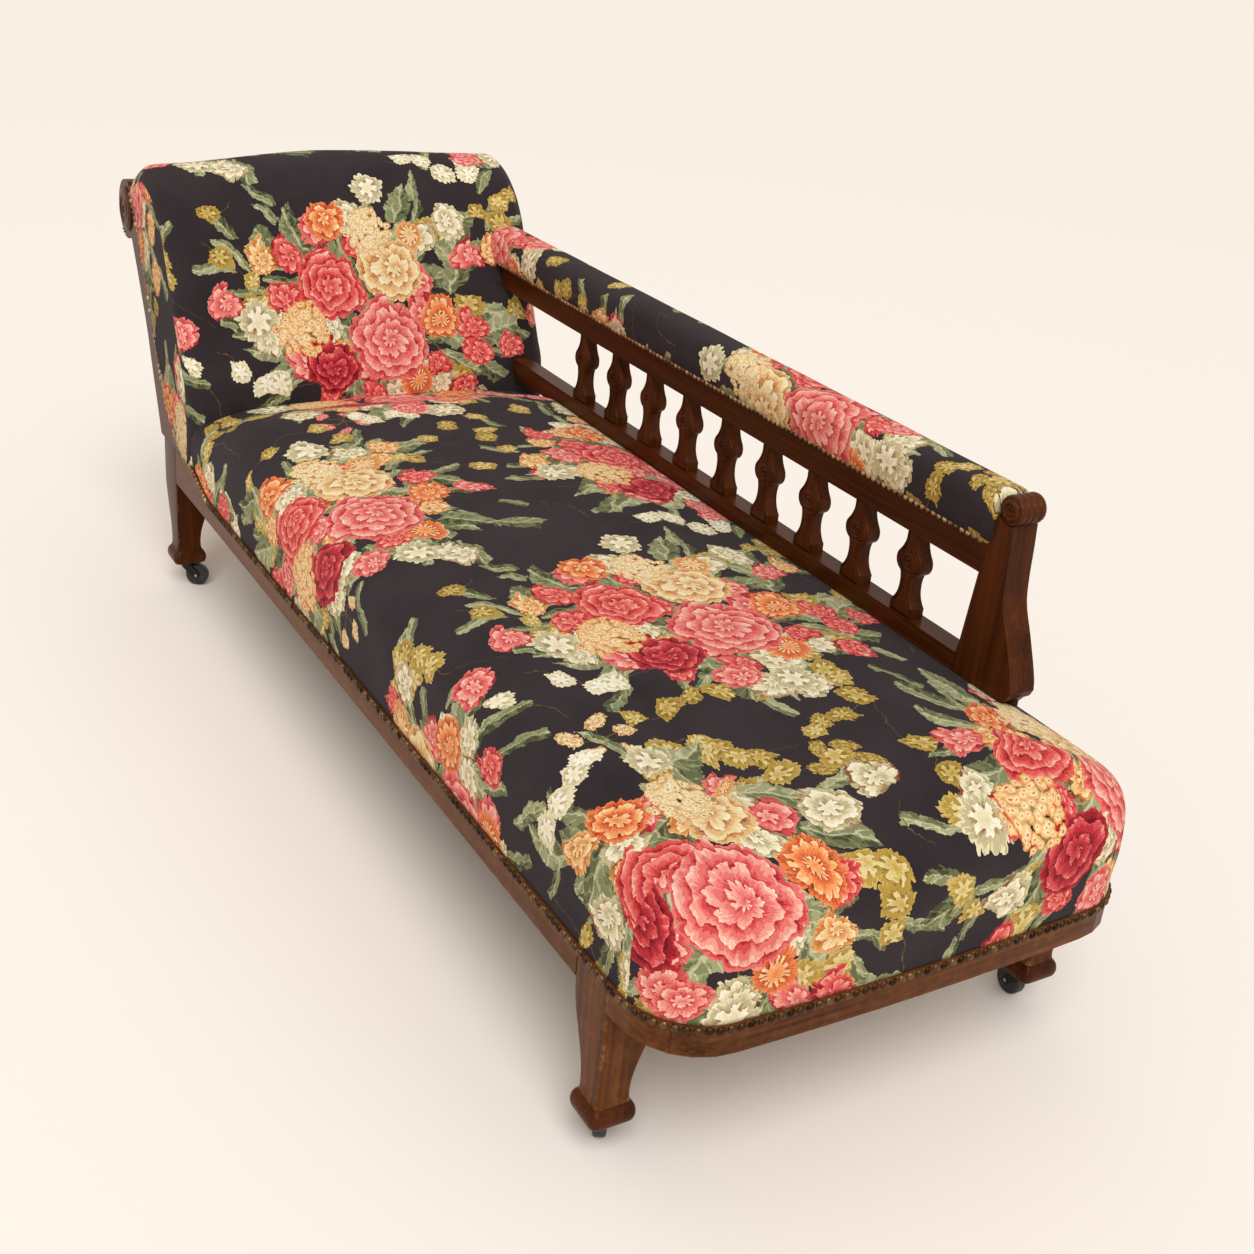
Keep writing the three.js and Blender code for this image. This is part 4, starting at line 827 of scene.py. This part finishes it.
side_face = 0.324
foot_end, foot_bow, foot_corner = 0.967, 0.005, 0.092
head_base = -0.556
seat_start = head_base - 0.061
seat_base, seat_crown = rail_top + 0.0005, 0.171
seat_skin, hem_inset, hem_room = 0.0024, 0.0045, 0.0003
hem_rise_from, hem_rise_length = -0.56, 0.08
seat_dip, seat_dip_length = 0.042, 0.19
seat_unevenness, seat_lump = 0.0022, 0.9
corner_steps, bow_steps, side_steps, seat_rows = 18, 64, 150, 46
turned_row = 38
settled_fall = 0.09
seat_rise_shares = [
    (0, 0), (0, 0.15), (-0.006, 0.31), (-0.004, 0.45), (0.004, 0.585), (0.022, 0.69), (0.06, 0.765),
    (0.12, 0.83), (0.24, 0.92), (0.42, 0.97), (0.62, 0.993), (0.84, 1.0), (0.94, 1.002),
]


def foot_round(inset):
    """The radius and the centre of a foot corner's round at a distance inside the rails' faces."""
    least = min(max(foot_corner - inset, foot_corner / 6), (side_face - inset) * 0.9)
    return least, foot_end - foot_bow - inset - least, side_face - inset - least


def foot_path(inset):
    """Points round the foot end at a distance inside the rails' faces, with their outward normals."""
    least, centre_x, centre_y = foot_round(inset)
    bends = [math.pi / 2 * i / corner_steps for i in range(corner_steps + 1)]
    corner = [(least * math.cos(a), least * math.sin(a), math.cos(a), math.sin(a)) for a in bends]
    points = [(centre_x + x, -centre_y - y, out_x, -out_y) for x, y, out_x, out_y in corner[::-1]]
    for i in range(1, bow_steps):
        across = -1 + 2 * i / bow_steps
        points.append((centre_x + least + foot_bow * (1 - across**2), centre_y * across, 1, 0))
    return np.array(points + [(centre_x + x, centre_y + y, out_x, out_y) for x, y, out_x, out_y in corner])


def seat_plan(inset):
    """The seat's whole plan from the head end, as x, y and the outward normal."""
    foot = foot_path(inset)
    run = np.linspace(seat_start, foot[0][0], side_steps, endpoint=False)
    side = side_face - inset
    front = np.array([(x, -side, 0, -1) for x in run])
    back = np.array([(x, side, 0, 1) for x in run[::-1]])
    return np.vstack([front, foot, back])


def rolling(x, y, z, size):
    """A gentle unevenness, from -1 to 1, for stuffed surfaces."""
    a = np.sin(x * 6.3 / size + 1.3 * np.sin(y * 4.1 / size)) * np.cos(y * 5.2 / size + 0.7)
    b = np.sin(x * 13.1 / size + 2.1) * np.sin(y * 11.7 / size + z * 9.0 / size + 0.4)
    return 0.65 * a + 0.35 * b


def skin_mesh(name, rings, cloth, closing, pleats=()):
    """A closed mesh from rings of points and the place of each point on the flat cloth.
    Past a pleat, given as a column and its other places, the cloth starts afresh."""
    count = len(rings[0])
    mesh = bpy.data.meshes.new(name)
    mesh.from_pydata([tuple(v) for v in np.vstack(rings)], [], ring_faces(len(rings), count) + closing)
    layer = mesh.uv_layers.new(name="cloth")
    spots = np.vstack(cloth)
    order = np.zeros(len(mesh.loops), np.int32)
    mesh.loops.foreach_get("vertex_index", order)
    layer.data.foreach_set("uv", spots[order].astype(np.float32).ravel())
    for column, other in pleats:
        for r in range(len(rings) - 1):
            corners = mesh.polygons[r * count + column].loop_indices
            layer.data[corners[0]].uv = other[r]
            layer.data[corners[3]].uv = other[r + 1]
    smooth_shaded(mesh)
    return placed(name, mesh)


def cross_faces(first, count, up):
    """Faces that close a ring across, from its two ends to its middle."""
    middle = first + (count - 1) // 2
    pairs = [(first + i, first + count - 1 - i) for i in range(middle - first - 1)]
    faces = [(near, near + 1, far - 1, far) for near, far in pairs] + [(middle - 1, middle, middle + 1)]
    return faces if up else [face[::-1] for face in faces]


def trimmed(piece, cutters):
    """Cuts away what other pieces take up, and leaves the result in the mesh."""
    for cutter in cutters:
        cut = piece.modifiers.new("trim", "BOOLEAN")
        cut.operation = "DIFFERENCE"
        cut.solver = "EXACT"
        cut.object = cutter
    bpy.context.view_layer.update()
    shape = piece.evaluated_get(bpy.context.evaluated_depsgraph_get())
    mesh = bpy.data.meshes.new_from_object(shape)
    piece.modifiers.clear()
    piece.data = mesh
    return piece


seat_cloth = print_cloth("seat_print", (0.436, 0.0))
seat_profile = smooth_through(seat_rise_shares, seat_rows)
hem = seat_plan(hem_inset)
hem_rise = eased((hem[:, 0] - hem_rise_from) / hem_rise_length)
hem_z = seat_base + (rebate_z + hem_room - seat_base) * hem_rise
rings = [np.column_stack([hem[:, 0], hem[:, 1], z]) for z in (np.full(len(hem), seat_base), hem_z)]
insets = [hem_inset, hem_inset]
for inward, up in seat_profile:
    insets.append(seat_skin + side_face * inward)
    x, y, out_x, out_y = seat_plan(insets[-1]).T
    near_head = eased((head_base + seat_dip_length - x) / seat_dip_length)
    z = hem_z + (rebate_z + seat_crown - hem_z) * up - seat_dip * up * near_head
    wave = rolling(x, y, z, seat_lump) * seat_unevenness * min(1, up * 1.6) * (1 - 0.3 * near_head)
    sideways = wave * (up < 0.8)
    rings.append(np.column_stack([x + out_x * sideways, y + out_y * sideways, z + wave * (up >= 0.6)]))
turned = seat_plan(insets[turned_row])
turn_y, turn_x = side_face - insets[turned_row], sum(foot_round(insets[turned_row])[:2])
lengths = [np.zeros(len(turned))]
for ring, further in zip(rings, rings[1:]):
    lengths.append(lengths[-1] + np.linalg.norm(further - ring, axis=1))


def cloth_past_turn(r, along_side):
    """Where a ring of the skirt lies on the flat cloth, pulled straight down from the side or the end."""
    fall = lengths[turned_row] - lengths[r]
    radius, centre_x, centre_y = foot_round(insets[r])
    out_x, out_y = turned[:, 2], turned[:, 3]
    fanned = rings[turned_row][:, :2] + turned[:, 2:] * fall[:, None]
    side = np.sign(turned[:, 1])
    if along_side:
        bend = np.where(out_x > 0, np.arctan2(out_x, np.abs(out_y)), 0)
        u = np.where(out_x > 0, centre_x + radius * bend, rings[r][:, 0])
        straight = np.column_stack([u, side * (turn_y + fall)])
    else:
        bend = np.arctan2(np.abs(out_y), out_x)
        v = np.where(out_y != 0, side * (centre_y + radius * bend), rings[r][:, 1])
        straight = np.column_stack([np.maximum(rings[turned_row][:, 0], turn_x) + fall, v])
    kept = eased(fall / settled_fall)[:, None]
    return fanned * (1 - kept) + straight * kept


front_pleat = side_steps + 2
back_pleat = side_steps + 2 * (corner_steps + 1) + bow_steps - 1 - 4
cloth, front_other, back_other = [], [], []
for r, ring in enumerate(rings):
    by_side = by_end = ring[:, :2]
    if r < turned_row:
        by_side, by_end = cloth_past_turn(r, True), cloth_past_turn(r, False)
    cloth.append(np.vstack([
        by_side[:front_pleat + 1], by_end[front_pleat + 1:back_pleat + 1], by_side[back_pleat + 1:],
    ]))
    front_other.append(by_end[front_pleat])
    back_other.append(by_side[back_pleat])
count = len(rings[0])
closing = cross_faces(0, count, False) + cross_faces((len(rings) - 1) * count, count, True)
pleats = [(front_pleat, front_other), (back_pleat, back_other)]
seat_cover = skin_mesh("seat_cover", rings, cloth, closing, pleats)
seat_cover.data.materials.append(seat_cloth)

# Head end cover
# The same cloth over a sprung back that leans away from the seat and rolls over a scrolled top.
# Its sides wrap onto the stiles, where close nails hold them.

scroll_x, scroll_z = -0.917, 0.612
scroll_radius, scroll_skin = 0.05, 0.003
head_top = 0.729
head_half, head_round = side_face + 0.002, 0.032
crest_sag_front, crest_sag_back, sag_reach, sag_from = 0.020, 0.006, 0.30, 0.50
head_crown, head_unevenness, head_lump = 0.004, 0.0016, 0.8
gallery_swell, swell_rise, swell_fall = 0.022, (0.13, 0.12), (0.285, 0.045)
front_points, roll_points = 70, 22
head_front_shares = [
    (0, 0), (0.012, 0.1), (0.012, 0.21), (-0.006, 0.315), (-0.06, 0.39), (-0.115, 0.48), (-0.19, 0.605),
    (-0.268, 0.735), (-0.315, 0.81), (-0.4, 0.897), (-0.525, 0.966), (-0.67, 0.998), (-0.79, 0.982),
    (-0.9, 0.93), (-0.965, 0.885),
]
head_inner_shares = [(-0.9, 0.65), (-0.8, 0.575), (-0.66, 0.38), (-0.51, 0.15), (-0.49, 0)]


def head_outline(drop):
    """The head end's side outline, with its front and crest pulled in by drop."""
    reach, rise = head_base - scroll_x, head_top - seat_base
    front, inner = (
        np.array([(head_base + reach * a, seat_base + rise * u) for a, u in shares])
        for shares in (head_front_shares, head_inner_shares)
    )
    front = smooth_through(front, front_points)
    along = np.gradient(front, axis=0)
    along /= np.linalg.norm(along, axis=1)[:, None]
    front = front - np.column_stack([along[:, 1], -along[:, 0]]) * drop
    front[0][1] = seat_base
    radius = scroll_radius - scroll_skin
    turns = np.radians(np.linspace(90, 320, roll_points))
    roll = [(scroll_x + radius * math.cos(a), scroll_z + radius * math.sin(a)) for a in turns]
    return np.vstack([front, roll, inner])


def path_lengths(points):
    """How far along a line of points each of them is."""
    return np.concatenate([[0], np.cumsum(np.linalg.norm(np.diff(points, axis=0), axis=1))])


wrapped = [head_half - head_round * (1 - math.sin(a)) for a in np.radians(np.linspace(90, 0, 9))]
stations = wrapped + list(np.linspace(wrapped[-1], 0, 22))[1:]
stations += [-y for y in stations[:-1]][::-1]
rings, cloth = [], []
for y in stations:
    past = max(0.0, abs(y) - (head_half - head_round))
    drop = head_round - math.sqrt(max(0.0, head_round**2 - past**2))
    flat_y = math.copysign(abs(y) - past + head_round * math.asin(min(1.0, past / head_round)), y)
    outline = head_outline(drop)
    tired = crest_sag_front * eased(-y / sag_reach) + crest_sag_back * eased(y / sag_reach)
    height = np.clip((outline[:, 1] - sag_from) / (head_top - sag_from), 0, 1)
    outline[:, 1] -= tired * height**1.5
    rest = np.zeros(len(outline) - front_points)
    bumps = rolling(np.linspace(0, 0.8, len(outline)), y, 0, head_lump)
    crown = head_crown * (1 - (abs(y) / head_half) ** 2) + head_unevenness * bumps
    crown = crown * np.concatenate([eased(np.linspace(0, 8, front_points)), rest])
    rise, fall = (eased((y - start) / length) for start, length in (swell_rise, swell_fall))
    bulge = np.clip(np.sin(np.linspace(0, math.pi, front_points)), 0, 1) ** 0.8
    swell = np.concatenate([gallery_swell * rise * (1 - fall) * bulge, rest])
    level = np.full(len(outline), y)
    cloth.append(np.column_stack([-path_lengths(outline), np.full(len(outline), flat_y)]))
    rings.append(np.column_stack([
        outline[:, 0] + crown * 0.8 + swell, level, outline[:, 1] + crown * 0.5 + swell * 0.1,
    ]))
head_cover = skin_mesh("head_cover", rings, cloth, end_faces(len(rings), len(rings[0])))
end_uv = head_cover.data.uv_layers["cloth"].data
for face in head_cover.data.polygons[-2:]:
    for corner in face.loop_indices:
        spot = head_cover.data.vertices[head_cover.data.loops[corner].vertex_index].co
        end_uv[corner].uv = (-spot.z * 0.9 - 0.1, spot.x + math.copysign(0.45, spot.y))
face_outwards(head_cover.data)
head_cover.data.materials.append(print_cloth("head_print", (-0.255, 0.0)))

# Arm cover
# A firm narrow roll of hair over the gallery's top rail, covered in the print and close nailed
# along its lower edges; its free end is gathered round behind the knob of the end post.

arm_y, arm_half = 0.271, 0.035
arm_bottom, arm_height = 0.565, 0.071
arm_start, arm_end, arm_rounding = -0.711, 0.6885, 0.010
arm_low_end, arm_unevenness = 0.88, 0.012
arm_around, arm_rings, arm_end_rings = 72, 170, 8


def squared(share):
    """A circle's sine or cosine drawn out towards a square's."""
    return math.copysign(abs(share) ** (2 / 3), share)


rings, cloth = [], []
round_from = arm_end - arm_rounding
run = list(np.linspace(arm_start, round_from, arm_rings))
run += [round_from + arm_rounding * math.sin(a) for a in np.radians(np.linspace(10, 90, arm_end_rings))]
for x in run:
    past = max(0.0, x - round_from) / arm_rounding
    shrink = arm_rounding * (1 - math.sqrt(max(0.0, 1 - past**2)))
    height = arm_height * (arm_low_end + (1 - arm_low_end) * (x - arm_start) / (arm_end - arm_start))
    ring = []
    for i in range(arm_around):
        a = 2 * math.pi * i / arm_around
        soft = 1 + arm_unevenness * math.sin(x * 21 + 2 * math.sin(a)) * math.sin(x * 8.3 + a)
        ring.append((
            x,
            arm_y + (arm_half - shrink) * squared(math.cos(a)) * soft,
            arm_bottom + height / 2 + (height / 2 - shrink) * squared(math.sin(a)) * soft,
        ))
    far = path_lengths(np.array(ring))
    rings.append(np.array(ring))
    cloth.append(np.column_stack([np.full(arm_around, x), far - far[arm_around // 4]]))
arm_cover = skin_mesh("arm_cover", rings, cloth, end_faces(len(rings), arm_around))
face_outwards(arm_cover.data)
arm_cover.data.materials.append(print_cloth("arm_print", (0.30, 0.02)))

trimmed(arm_cover, [head_cover, nodes["gallery_top_rail"], nodes["gallery_end_post"]])
trimmed(seat_cover, [head_cover, nodes["gallery_lower_rail"], nodes["gallery_end_post"]])
stile_rooms = []
for name in stile_names:
    room = placed(f"{name}_room", nodes[name].data.copy())
    for corner in room.data.vertices:
        if abs(corner.co.y) > 0.31:
            corner.co.y *= 1.1
    stile_rooms.append(room)
bar_names = ["head_scroll_bar", "head_middle_bar", "gallery_upright", *gallery_names]
trimmed(head_cover, [*stile_rooms, *[nodes[name] for name in bar_names]])
for room in stile_rooms:
    bpy.data.objects.remove(room)
for cover, solid, fill in [
    (seat_cover, "seat_pad", 0.9), (head_cover, "head_pad", 0.9), (arm_cover, "arm_pad", 0.95),
]:
    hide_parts(solid)
    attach(cover, "frame")

# Nails
# Close dome headed nails of antique brass pin the covers all round. The row runs along the seat's
# rebate, up the front edges of the head stiles and under the arm.

nail_radius, nail_height, nail_pitch = 0.0051, 0.0032, 0.0116
nail_z, nails_start = 0.2318, -0.480
arm_nail_radius, arm_nail_pitch = 0.0044, 0.0106
arm_nail_z, arm_nails_end = 0.5715, 0.676
nail_around, nail_search = 10, 0.02
dome_shares = [(1.0, -0.25), (1.0, 0.12), (0.86, 0.48), (0.58, 0.80), (0.24, 0.97)]
# One antique brass in two copies. The seat's row takes a darker copy as painted shade, and the head's and
# arm's rows take a lighter copy as painted highlight.
painted_shade_nail_stops = [(0.2, 0.018, 0.010, 0.006), (0.5, 0.060, 0.034, 0.018), (0.8, 0.19, 0.11, 0.055)]
painted_highlight_nail_stops = [(0.2, 0.10, 0.060, 0.032), (0.5, 0.30, 0.19, 0.10), (0.8, 0.58, 0.41, 0.25)]


def nail_finish(name, stops):
    """Tarnished metal that differs from nail to nail."""
    material, w = new_material(name, Metallic=1.0)
    luck = w.read("ShaderNodeNewGeometry", "Random Per Island")
    dull = w.noise(w.read("ShaderNodeTexCoord", "Object"), 260.0, 2.0, 0.6)
    w.surface(Base_Color=w.ramp(luck * 0.5 + dull * 0.5, stops), Roughness=dull * 0.35 + 0.22)
    return material


nails_painted_shade = nail_finish("nails_painted_shade", painted_shade_nail_stops)
nails_painted_highlight = nail_finish("nails_painted_highlight", painted_highlight_nail_stops)


def evenly(points, pitch):
    """Places a pitch apart along a line of places, each a point and the way out from it."""
    points = np.array(points, float)
    far = path_lengths(points[:, :3])
    wanted = np.linspace(0, far[-1], max(2, int(round(far[-1] / pitch)) + 1))
    return np.column_stack([np.interp(wanted, far, column) for column in points.T])


nailed_verts, nailed_faces = [], []
behind_nails = [nodes[name] for name in (*seat_rail_names, *foot_rail_names, *stile_names, *gallery_names)]
for piece in (seat_cover, head_cover, arm_cover, *behind_nails):
    first = len(nailed_verts)
    nailed_verts += [corner.co.copy() for corner in piece.data.vertices]
    nailed_faces += [tuple(first + k for k in face.vertices) for face in piece.data.polygons]
nailed = BVHTree.FromPolygons(nailed_verts, nailed_faces)


def nail_row(name, places, finish, radius=nail_radius):
    """One object of many dome heads; each place is a point near the surface and the way out from it."""
    verts, faces = [], []
    for spot in places:
        centre, out = Vector(spot[:3]), Vector(spot[3:6]).normalized()
        met = nailed.ray_cast(centre + out * nail_search, -out, 2 * nail_search)[0]
        centre = centre if met is None else met
        side = out.orthogonal().normalized()
        other = out.cross(side)
        first = len(verts)
        for share, lift in dome_shares:
            for k in range(nail_around):
                a = 2 * math.pi * k / nail_around
                sideways = (side * math.cos(a) + other * math.sin(a)) * radius * share
                verts.append(centre + sideways + out * nail_height * lift)
        verts.append(centre + out * nail_height)
        faces += ring_faces(len(dome_shares), nail_around, first)
        last = first + (len(dome_shares) - 1) * nail_around
        faces += [(last + k, last + (k + 1) % nail_around, len(verts) - 1) for k in range(nail_around)]
        faces.append(tuple(first + k for k in range(nail_around))[::-1])
    mesh = bpy.data.meshes.new(name)
    mesh.from_pydata(verts, [], faces)
    mesh.materials.append(finish)
    smooth_shaded(mesh)
    row = placed(name, mesh)
    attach(row, "frame")


seat_line = [(nails_start, -side_face, nail_z, 0, -1, 0)]
seat_line += [(x, y, nail_z, out_x, out_y, 0) for x, y, out_x, out_y in foot_path(0.0)]
seat_line += [(nails_start, side_face, nail_z, 0, 1, 0)]
nail_row("seat_nails", evenly(seat_line, nail_pitch), nails_painted_shade)
stile_line = [
    (-0.492, 0.2345), (-0.555, 0.2555), (-0.590, 0.2625), (-0.617, 0.2672), (-0.673, 0.292), (-0.710, 0.333),
    (-0.735, 0.379), (-0.771, 0.439), (-0.789, 0.486), (-0.814, 0.531), (-0.844, 0.584), (-0.858, 0.612),
    (-0.880, 0.640), (-0.893, 0.662),
]
stile_curve = smooth_through(stile_line, 120)
for label, side in (("front", -1), ("back", 1)):
    places = [(x, side * (side_face + 0.0005), z, 0, side, 0) for x, z in stile_curve]
    nail_row(f"head_nails_{label}", evenly(places, arm_nail_pitch), nails_painted_highlight, arm_nail_radius)
for label, start, y, side in (("front", -0.60, 0.2400, -1), ("back", -0.66, 0.3020, 1)):
    places = [(x, y, arm_nail_z, 0, side, 0) for x in (start, arm_nails_end)]
    nail_row(f"arm_nails_{label}", evenly(places, arm_nail_pitch), nails_painted_highlight, arm_nail_radius)

# Back cover
# One flat width of the print closes the back of the head end. It is drawn over the bars from stile
# to stile, turned in along its sides, and nailed down both.

back_half, back_rows, back_across = 0.2957, 52, 49
back_slack, back_ripple, back_lean = 0.0035, 0.0006, (0.87, 0.4)


def cloth_panel(name, outer, inner, material, flat):
    """A thin closed sheet between two grids of points; flat gives each point's place on the cloth."""
    verts = np.vstack([outer.reshape(-1, 3), inner.reshape(-1, 3)])
    mesh = solid_mesh(name, verts, slab_faces(*outer.shape[:2]), (material,), 50)
    spots = np.vstack([flat.reshape(-1, 2)] * 2)
    layer = mesh.uv_layers.new(name="cloth")
    for loop in mesh.loops:
        layer.data[loop.index].uv = spots[loop.vertex_index]
    piece = placed(name, mesh)
    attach(piece, "frame")
    return piece


back_corners = {(round(v.co.x, 4), round(v.co.z, 4)) for v in nodes["head_back_cover"].data.vertices}
back_corners = sorted(back_corners, key=lambda spot: spot[1])
back_out, back_in = (smooth_through(back_corners[first::2], back_rows) for first in (0, 1))
back_columns = np.linspace(-back_half, back_half, back_across)
slack = np.sin(np.linspace(0, math.pi, back_rows))[:, None] * (1 - (back_columns / back_half) ** 4)
ripple = np.sin(back_columns * 95 + 2 * np.sin(np.linspace(0, 9, back_rows))[:, None])
slack = back_slack * slack + back_ripple * ripple
outer, inner = (
    np.dstack(np.broadcast_arrays(
        line[:, :1] + slack * back_lean[0], back_columns, line[:, 1:] + slack * back_lean[1]
    ))
    for line in (back_out, back_in)
)
back_far = path_lengths(back_out)
back_flat = np.dstack(np.broadcast_arrays(-back_far[:, None], back_columns))
back_cover = cloth_panel("back_cover", outer, inner, print_cloth("back_print", (0.06, 0.04)), back_flat)
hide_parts("head_back_cover")

# Under the seat
# Jute webbing is woven across the frame to carry the springs, hessian lies over them, and a black
# cambric dust cover is tacked under the rails.


def plain_weave(name, shades, pitch, rough, bump_height):
    """A plain woven cloth seen close: crossing threads a pitch apart, slubs and a little dirt."""
    material, w = new_material(name, Roughness=rough)
    flat = w.read("ShaderNodeUVMap", "UV", uv_map="cloth")
    warp, weft = (w.math("SINE", thread) for thread in (flat * (math.pi / pitch)).parts[:2])
    gap = abs(warp) * abs(weft)
    slub = w.noise(flat * (40, 420, 0), 1.0, 2.0, 0.6, "2D")
    dirt = w.noise(flat, 11.0, 4.0, 0.6, "2D")
    tone = gap * 0.45 + (slub * 0.5 + dirt * 0.25)
    w.surface(Base_Color=w.ramp(tone, [(place, *shade) for place, shade in zip((0.2, 0.75), shades)]))
    w.relief(warp * weft + gap * 1.5, 0.6, bump_height)
    return material


jute_web = plain_weave("jute_webbing", ((0.13, 0.085, 0.04), (0.46, 0.34, 0.19)), 0.0022, 0.9, 0.0006)
hessian_cloth = plain_weave("hessian", ((0.12, 0.075, 0.035), (0.50, 0.36, 0.20)), 0.0016, 0.92, 0.0005)
black_cambric = plain_weave(
    "black_cambric", ((0.006, 0.006, 0.007), (0.030, 0.029, 0.031)), 0.0008, 0.85, 0.0002
)
cloth_thick = 0.0012
dust_x = np.array([-0.6947, -0.678, -0.6612, -0.6602, *np.linspace(-0.65, 0.7907, 90)])
dust_halves = np.where(dust_x < -0.6607, 0.2557, 0.288)
hessian_x = np.linspace(-0.5197, 0.7827, 80)
hessian_half = 0.2397


def flat_panel(name, xs, halves, z, sag, material):
    """A level sheet along the couch, with a half width at each x, sagging between its edges."""
    across = np.linspace(-1, 1, 41)
    x_grid, y_grid = np.broadcast_arrays(xs[:, None], halves[:, None] * across)
    along = np.sin(np.linspace(0, math.pi, len(xs)))[:, None] ** 0.5
    drop = sag * along * (1 - across**2) + sag * 0.16 * along * np.sin(xs[:, None] * 31 + across * 5)
    top, bottom = (np.dstack([x_grid, y_grid, z + thick - drop]) for thick in (cloth_thick, 0))
    return cloth_panel(name, top, bottom, material, np.dstack([x_grid, y_grid]))


dust_sheet = flat_panel("dust_sheet", dust_x, dust_halves, 0.1953, 0.0045, black_cambric)
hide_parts("dust_cover")
hessian_halves = np.full(len(hessian_x), hessian_half)
hessian_sheet = flat_panel("hessian_sheet", hessian_x, hessian_halves, 0.2963, 0.0, hessian_cloth)
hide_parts("seat_hessian")

web_half, web_z, web_thick = 0.025, 0.1992, 0.0007
web_wave, web_crossing = 0.00035, 0.034
well_start, well_end = -0.5202, 0.7832
cross_places = [well_start + (well_end - well_start) * (i + 0.5) / 10 for i in range(10)]
long_places = [-0.1201, 0.0, 0.1201]
cross_run, long_run = np.linspace(-0.288, 0.288, 97), np.linspace(-0.6947, 0.7907, 281)
web_strips = [("cross", x, cross_run, long_places, i) for i, x in enumerate(cross_places)]
web_strips += [("long", y, long_run, cross_places, i + 1) for i, y in enumerate(long_places)]
for kind, fixed, run, crossings, phase in web_strips:
    level = np.full(len(run), web_z)
    for j, place in enumerate(crossings):
        level += (-1) ** (j + phase) * web_wave * np.exp(-(((run - place) / web_crossing) ** 4))
    width = np.linspace(-web_half, web_half, 9)
    top, bottom = (
        np.dstack(np.broadcast_arrays(run[:, None], fixed + width, level[:, None] + lift))
        for lift in (web_thick / 2, -web_thick / 2)
    )
    if kind == "cross":
        top, bottom = top[:, :, [1, 0, 2]], bottom[:, :, [1, 0, 2]]
    flat = np.dstack(np.broadcast_arrays(run[:, None], width))
    strip = cloth_panel(f"webbing_{kind}_{phase}", top, bottom, jute_web, flat)
    if kind == "long" and fixed == 0:
        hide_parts("seat_webbing")

# Springs
# Six hourglass springs of coppered wire, lashed between the webbing and the hessian.

spring_wire, w = new_material("spring_wire", Metallic=1.0)
rust = w.noise(w.read("ShaderNodeTexCoord", "Object"), 90.0, 4.0, 0.65)
copper_and_rust = w.ramp(rust, [(0.35, 0.36, 0.25, 0.19), (0.6, 0.22, 0.10, 0.045)])
w.surface(Base_Color=copper_and_rust, Roughness=rust * 0.7 + 0.05)
for name, piece in nodes.items():
    if name.startswith("seat_spring"):
        dressed(piece, (spring_wire,))

# Castors
# Each leg stands on a small castor: a cast iron plate and a turning horn, a steel axle, and a wheel
# turned from black composition, dusty at the tread.


def worn_metal(name, clean, worn, metallic, rough, scale, share):
    """A metal with worn or rusted patches; share is how little of it is worn."""
    material, w = new_material(name, Metallic=metallic)
    place = w.read("ShaderNodeTexCoord", "Object")
    patches = w.noise(place, scale, 4.0, 0.65)
    fine = w.noise(place, scale * 9)
    wear = w.math("MULTIPLY", patches - share, 6.0, clamp=True)
    w.surface(
        Base_Color=w.mix(wear, clean, worn), Roughness=wear * 0.22 + (fine * 0.25 + (rough - 0.12))
    )
    w.relief(patches + fine * 0.6, 0.35, 0.0003)
    return material


castor_iron = worn_metal("castor_iron", (0.022, 0.020, 0.019), (0.085, 0.040, 0.020), 0.8, 0.5, 120.0, 0.55)
castor_steel = worn_metal("castor_steel", (0.42, 0.40, 0.37), (0.17, 0.11, 0.075), 1.0, 0.32, 160.0, 0.55)
wheel_black = worn_metal(
    "wheel_composition", (0.010, 0.010, 0.010), (0.060, 0.053, 0.045), 0.0, 0.45, 85.0, 0.52
)
castor_finishes = {"plate": castor_iron, "horn": castor_iron, "axle": castor_steel, "wheel": wheel_black}
for name, piece in nodes.items():
    if name.startswith("castor_"):
        dressed(piece, (castor_finishes[name.split("_")[1]],))
        smooth_shaded(piece.data, 35)

# Carved roundels
# The scrolled ears of the head stiles and the free end of the post's knob are turned to a roundel:
# a sunk eye inside two rings, cut in the same walnut.

roundel_around, roundel_rise = 40, 0.0022
ear_radius, knob_radius = 0.036, 0.0135
roundel_shares = [
    (0.0, -0.35), (0.16, -0.20), (0.22, 0.55), (0.32, 0.75), (0.42, 0.50), (0.48, -0.05), (0.56, -0.05),
    (0.62, 0.60), (0.72, 0.95), (0.82, 0.80), (0.90, 0.20), (1.0, -0.30), (1.0, -1.2),
]


def roundel(name, centre, side, radius):
    """A turned roundel on a face that looks along Y, towards side."""
    middle_x, middle_y, middle_z = centre
    verts = [(middle_x, middle_y + side * roundel_rise * roundel_shares[0][1], middle_z)]
    for share, lift in roundel_shares[1:]:
        for k in range(roundel_around):
            a = 2 * math.pi * k / roundel_around
            x, z = middle_x + radius * share * math.cos(a), middle_z + radius * share * math.sin(a)
            verts.append((x, middle_y + side * roundel_rise * lift, z))
    faces = [(0, 1 + (k + 1) % roundel_around, 1 + k) for k in range(roundel_around)]
    faces += ring_faces(len(roundel_shares) - 1, roundel_around, 1)
    faces.append(tuple(len(verts) - roundel_around + k for k in range(roundel_around)))
    # The roundels take the darker copy of the walnut: painted shade.
    piece = placed(name, solid_mesh(name, verts, faces, (dark["cross"][0],), 60))
    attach(piece, "frame")


roundel("ear_roundel_front", (scroll_x, -0.3275, scroll_z), -1, ear_radius)
roundel("ear_roundel_back", (scroll_x, 0.3275, scroll_z), 1, ear_radius)
roundel("knob_roundel", (0.709, 0.2485, 0.620), -1, knob_radius)
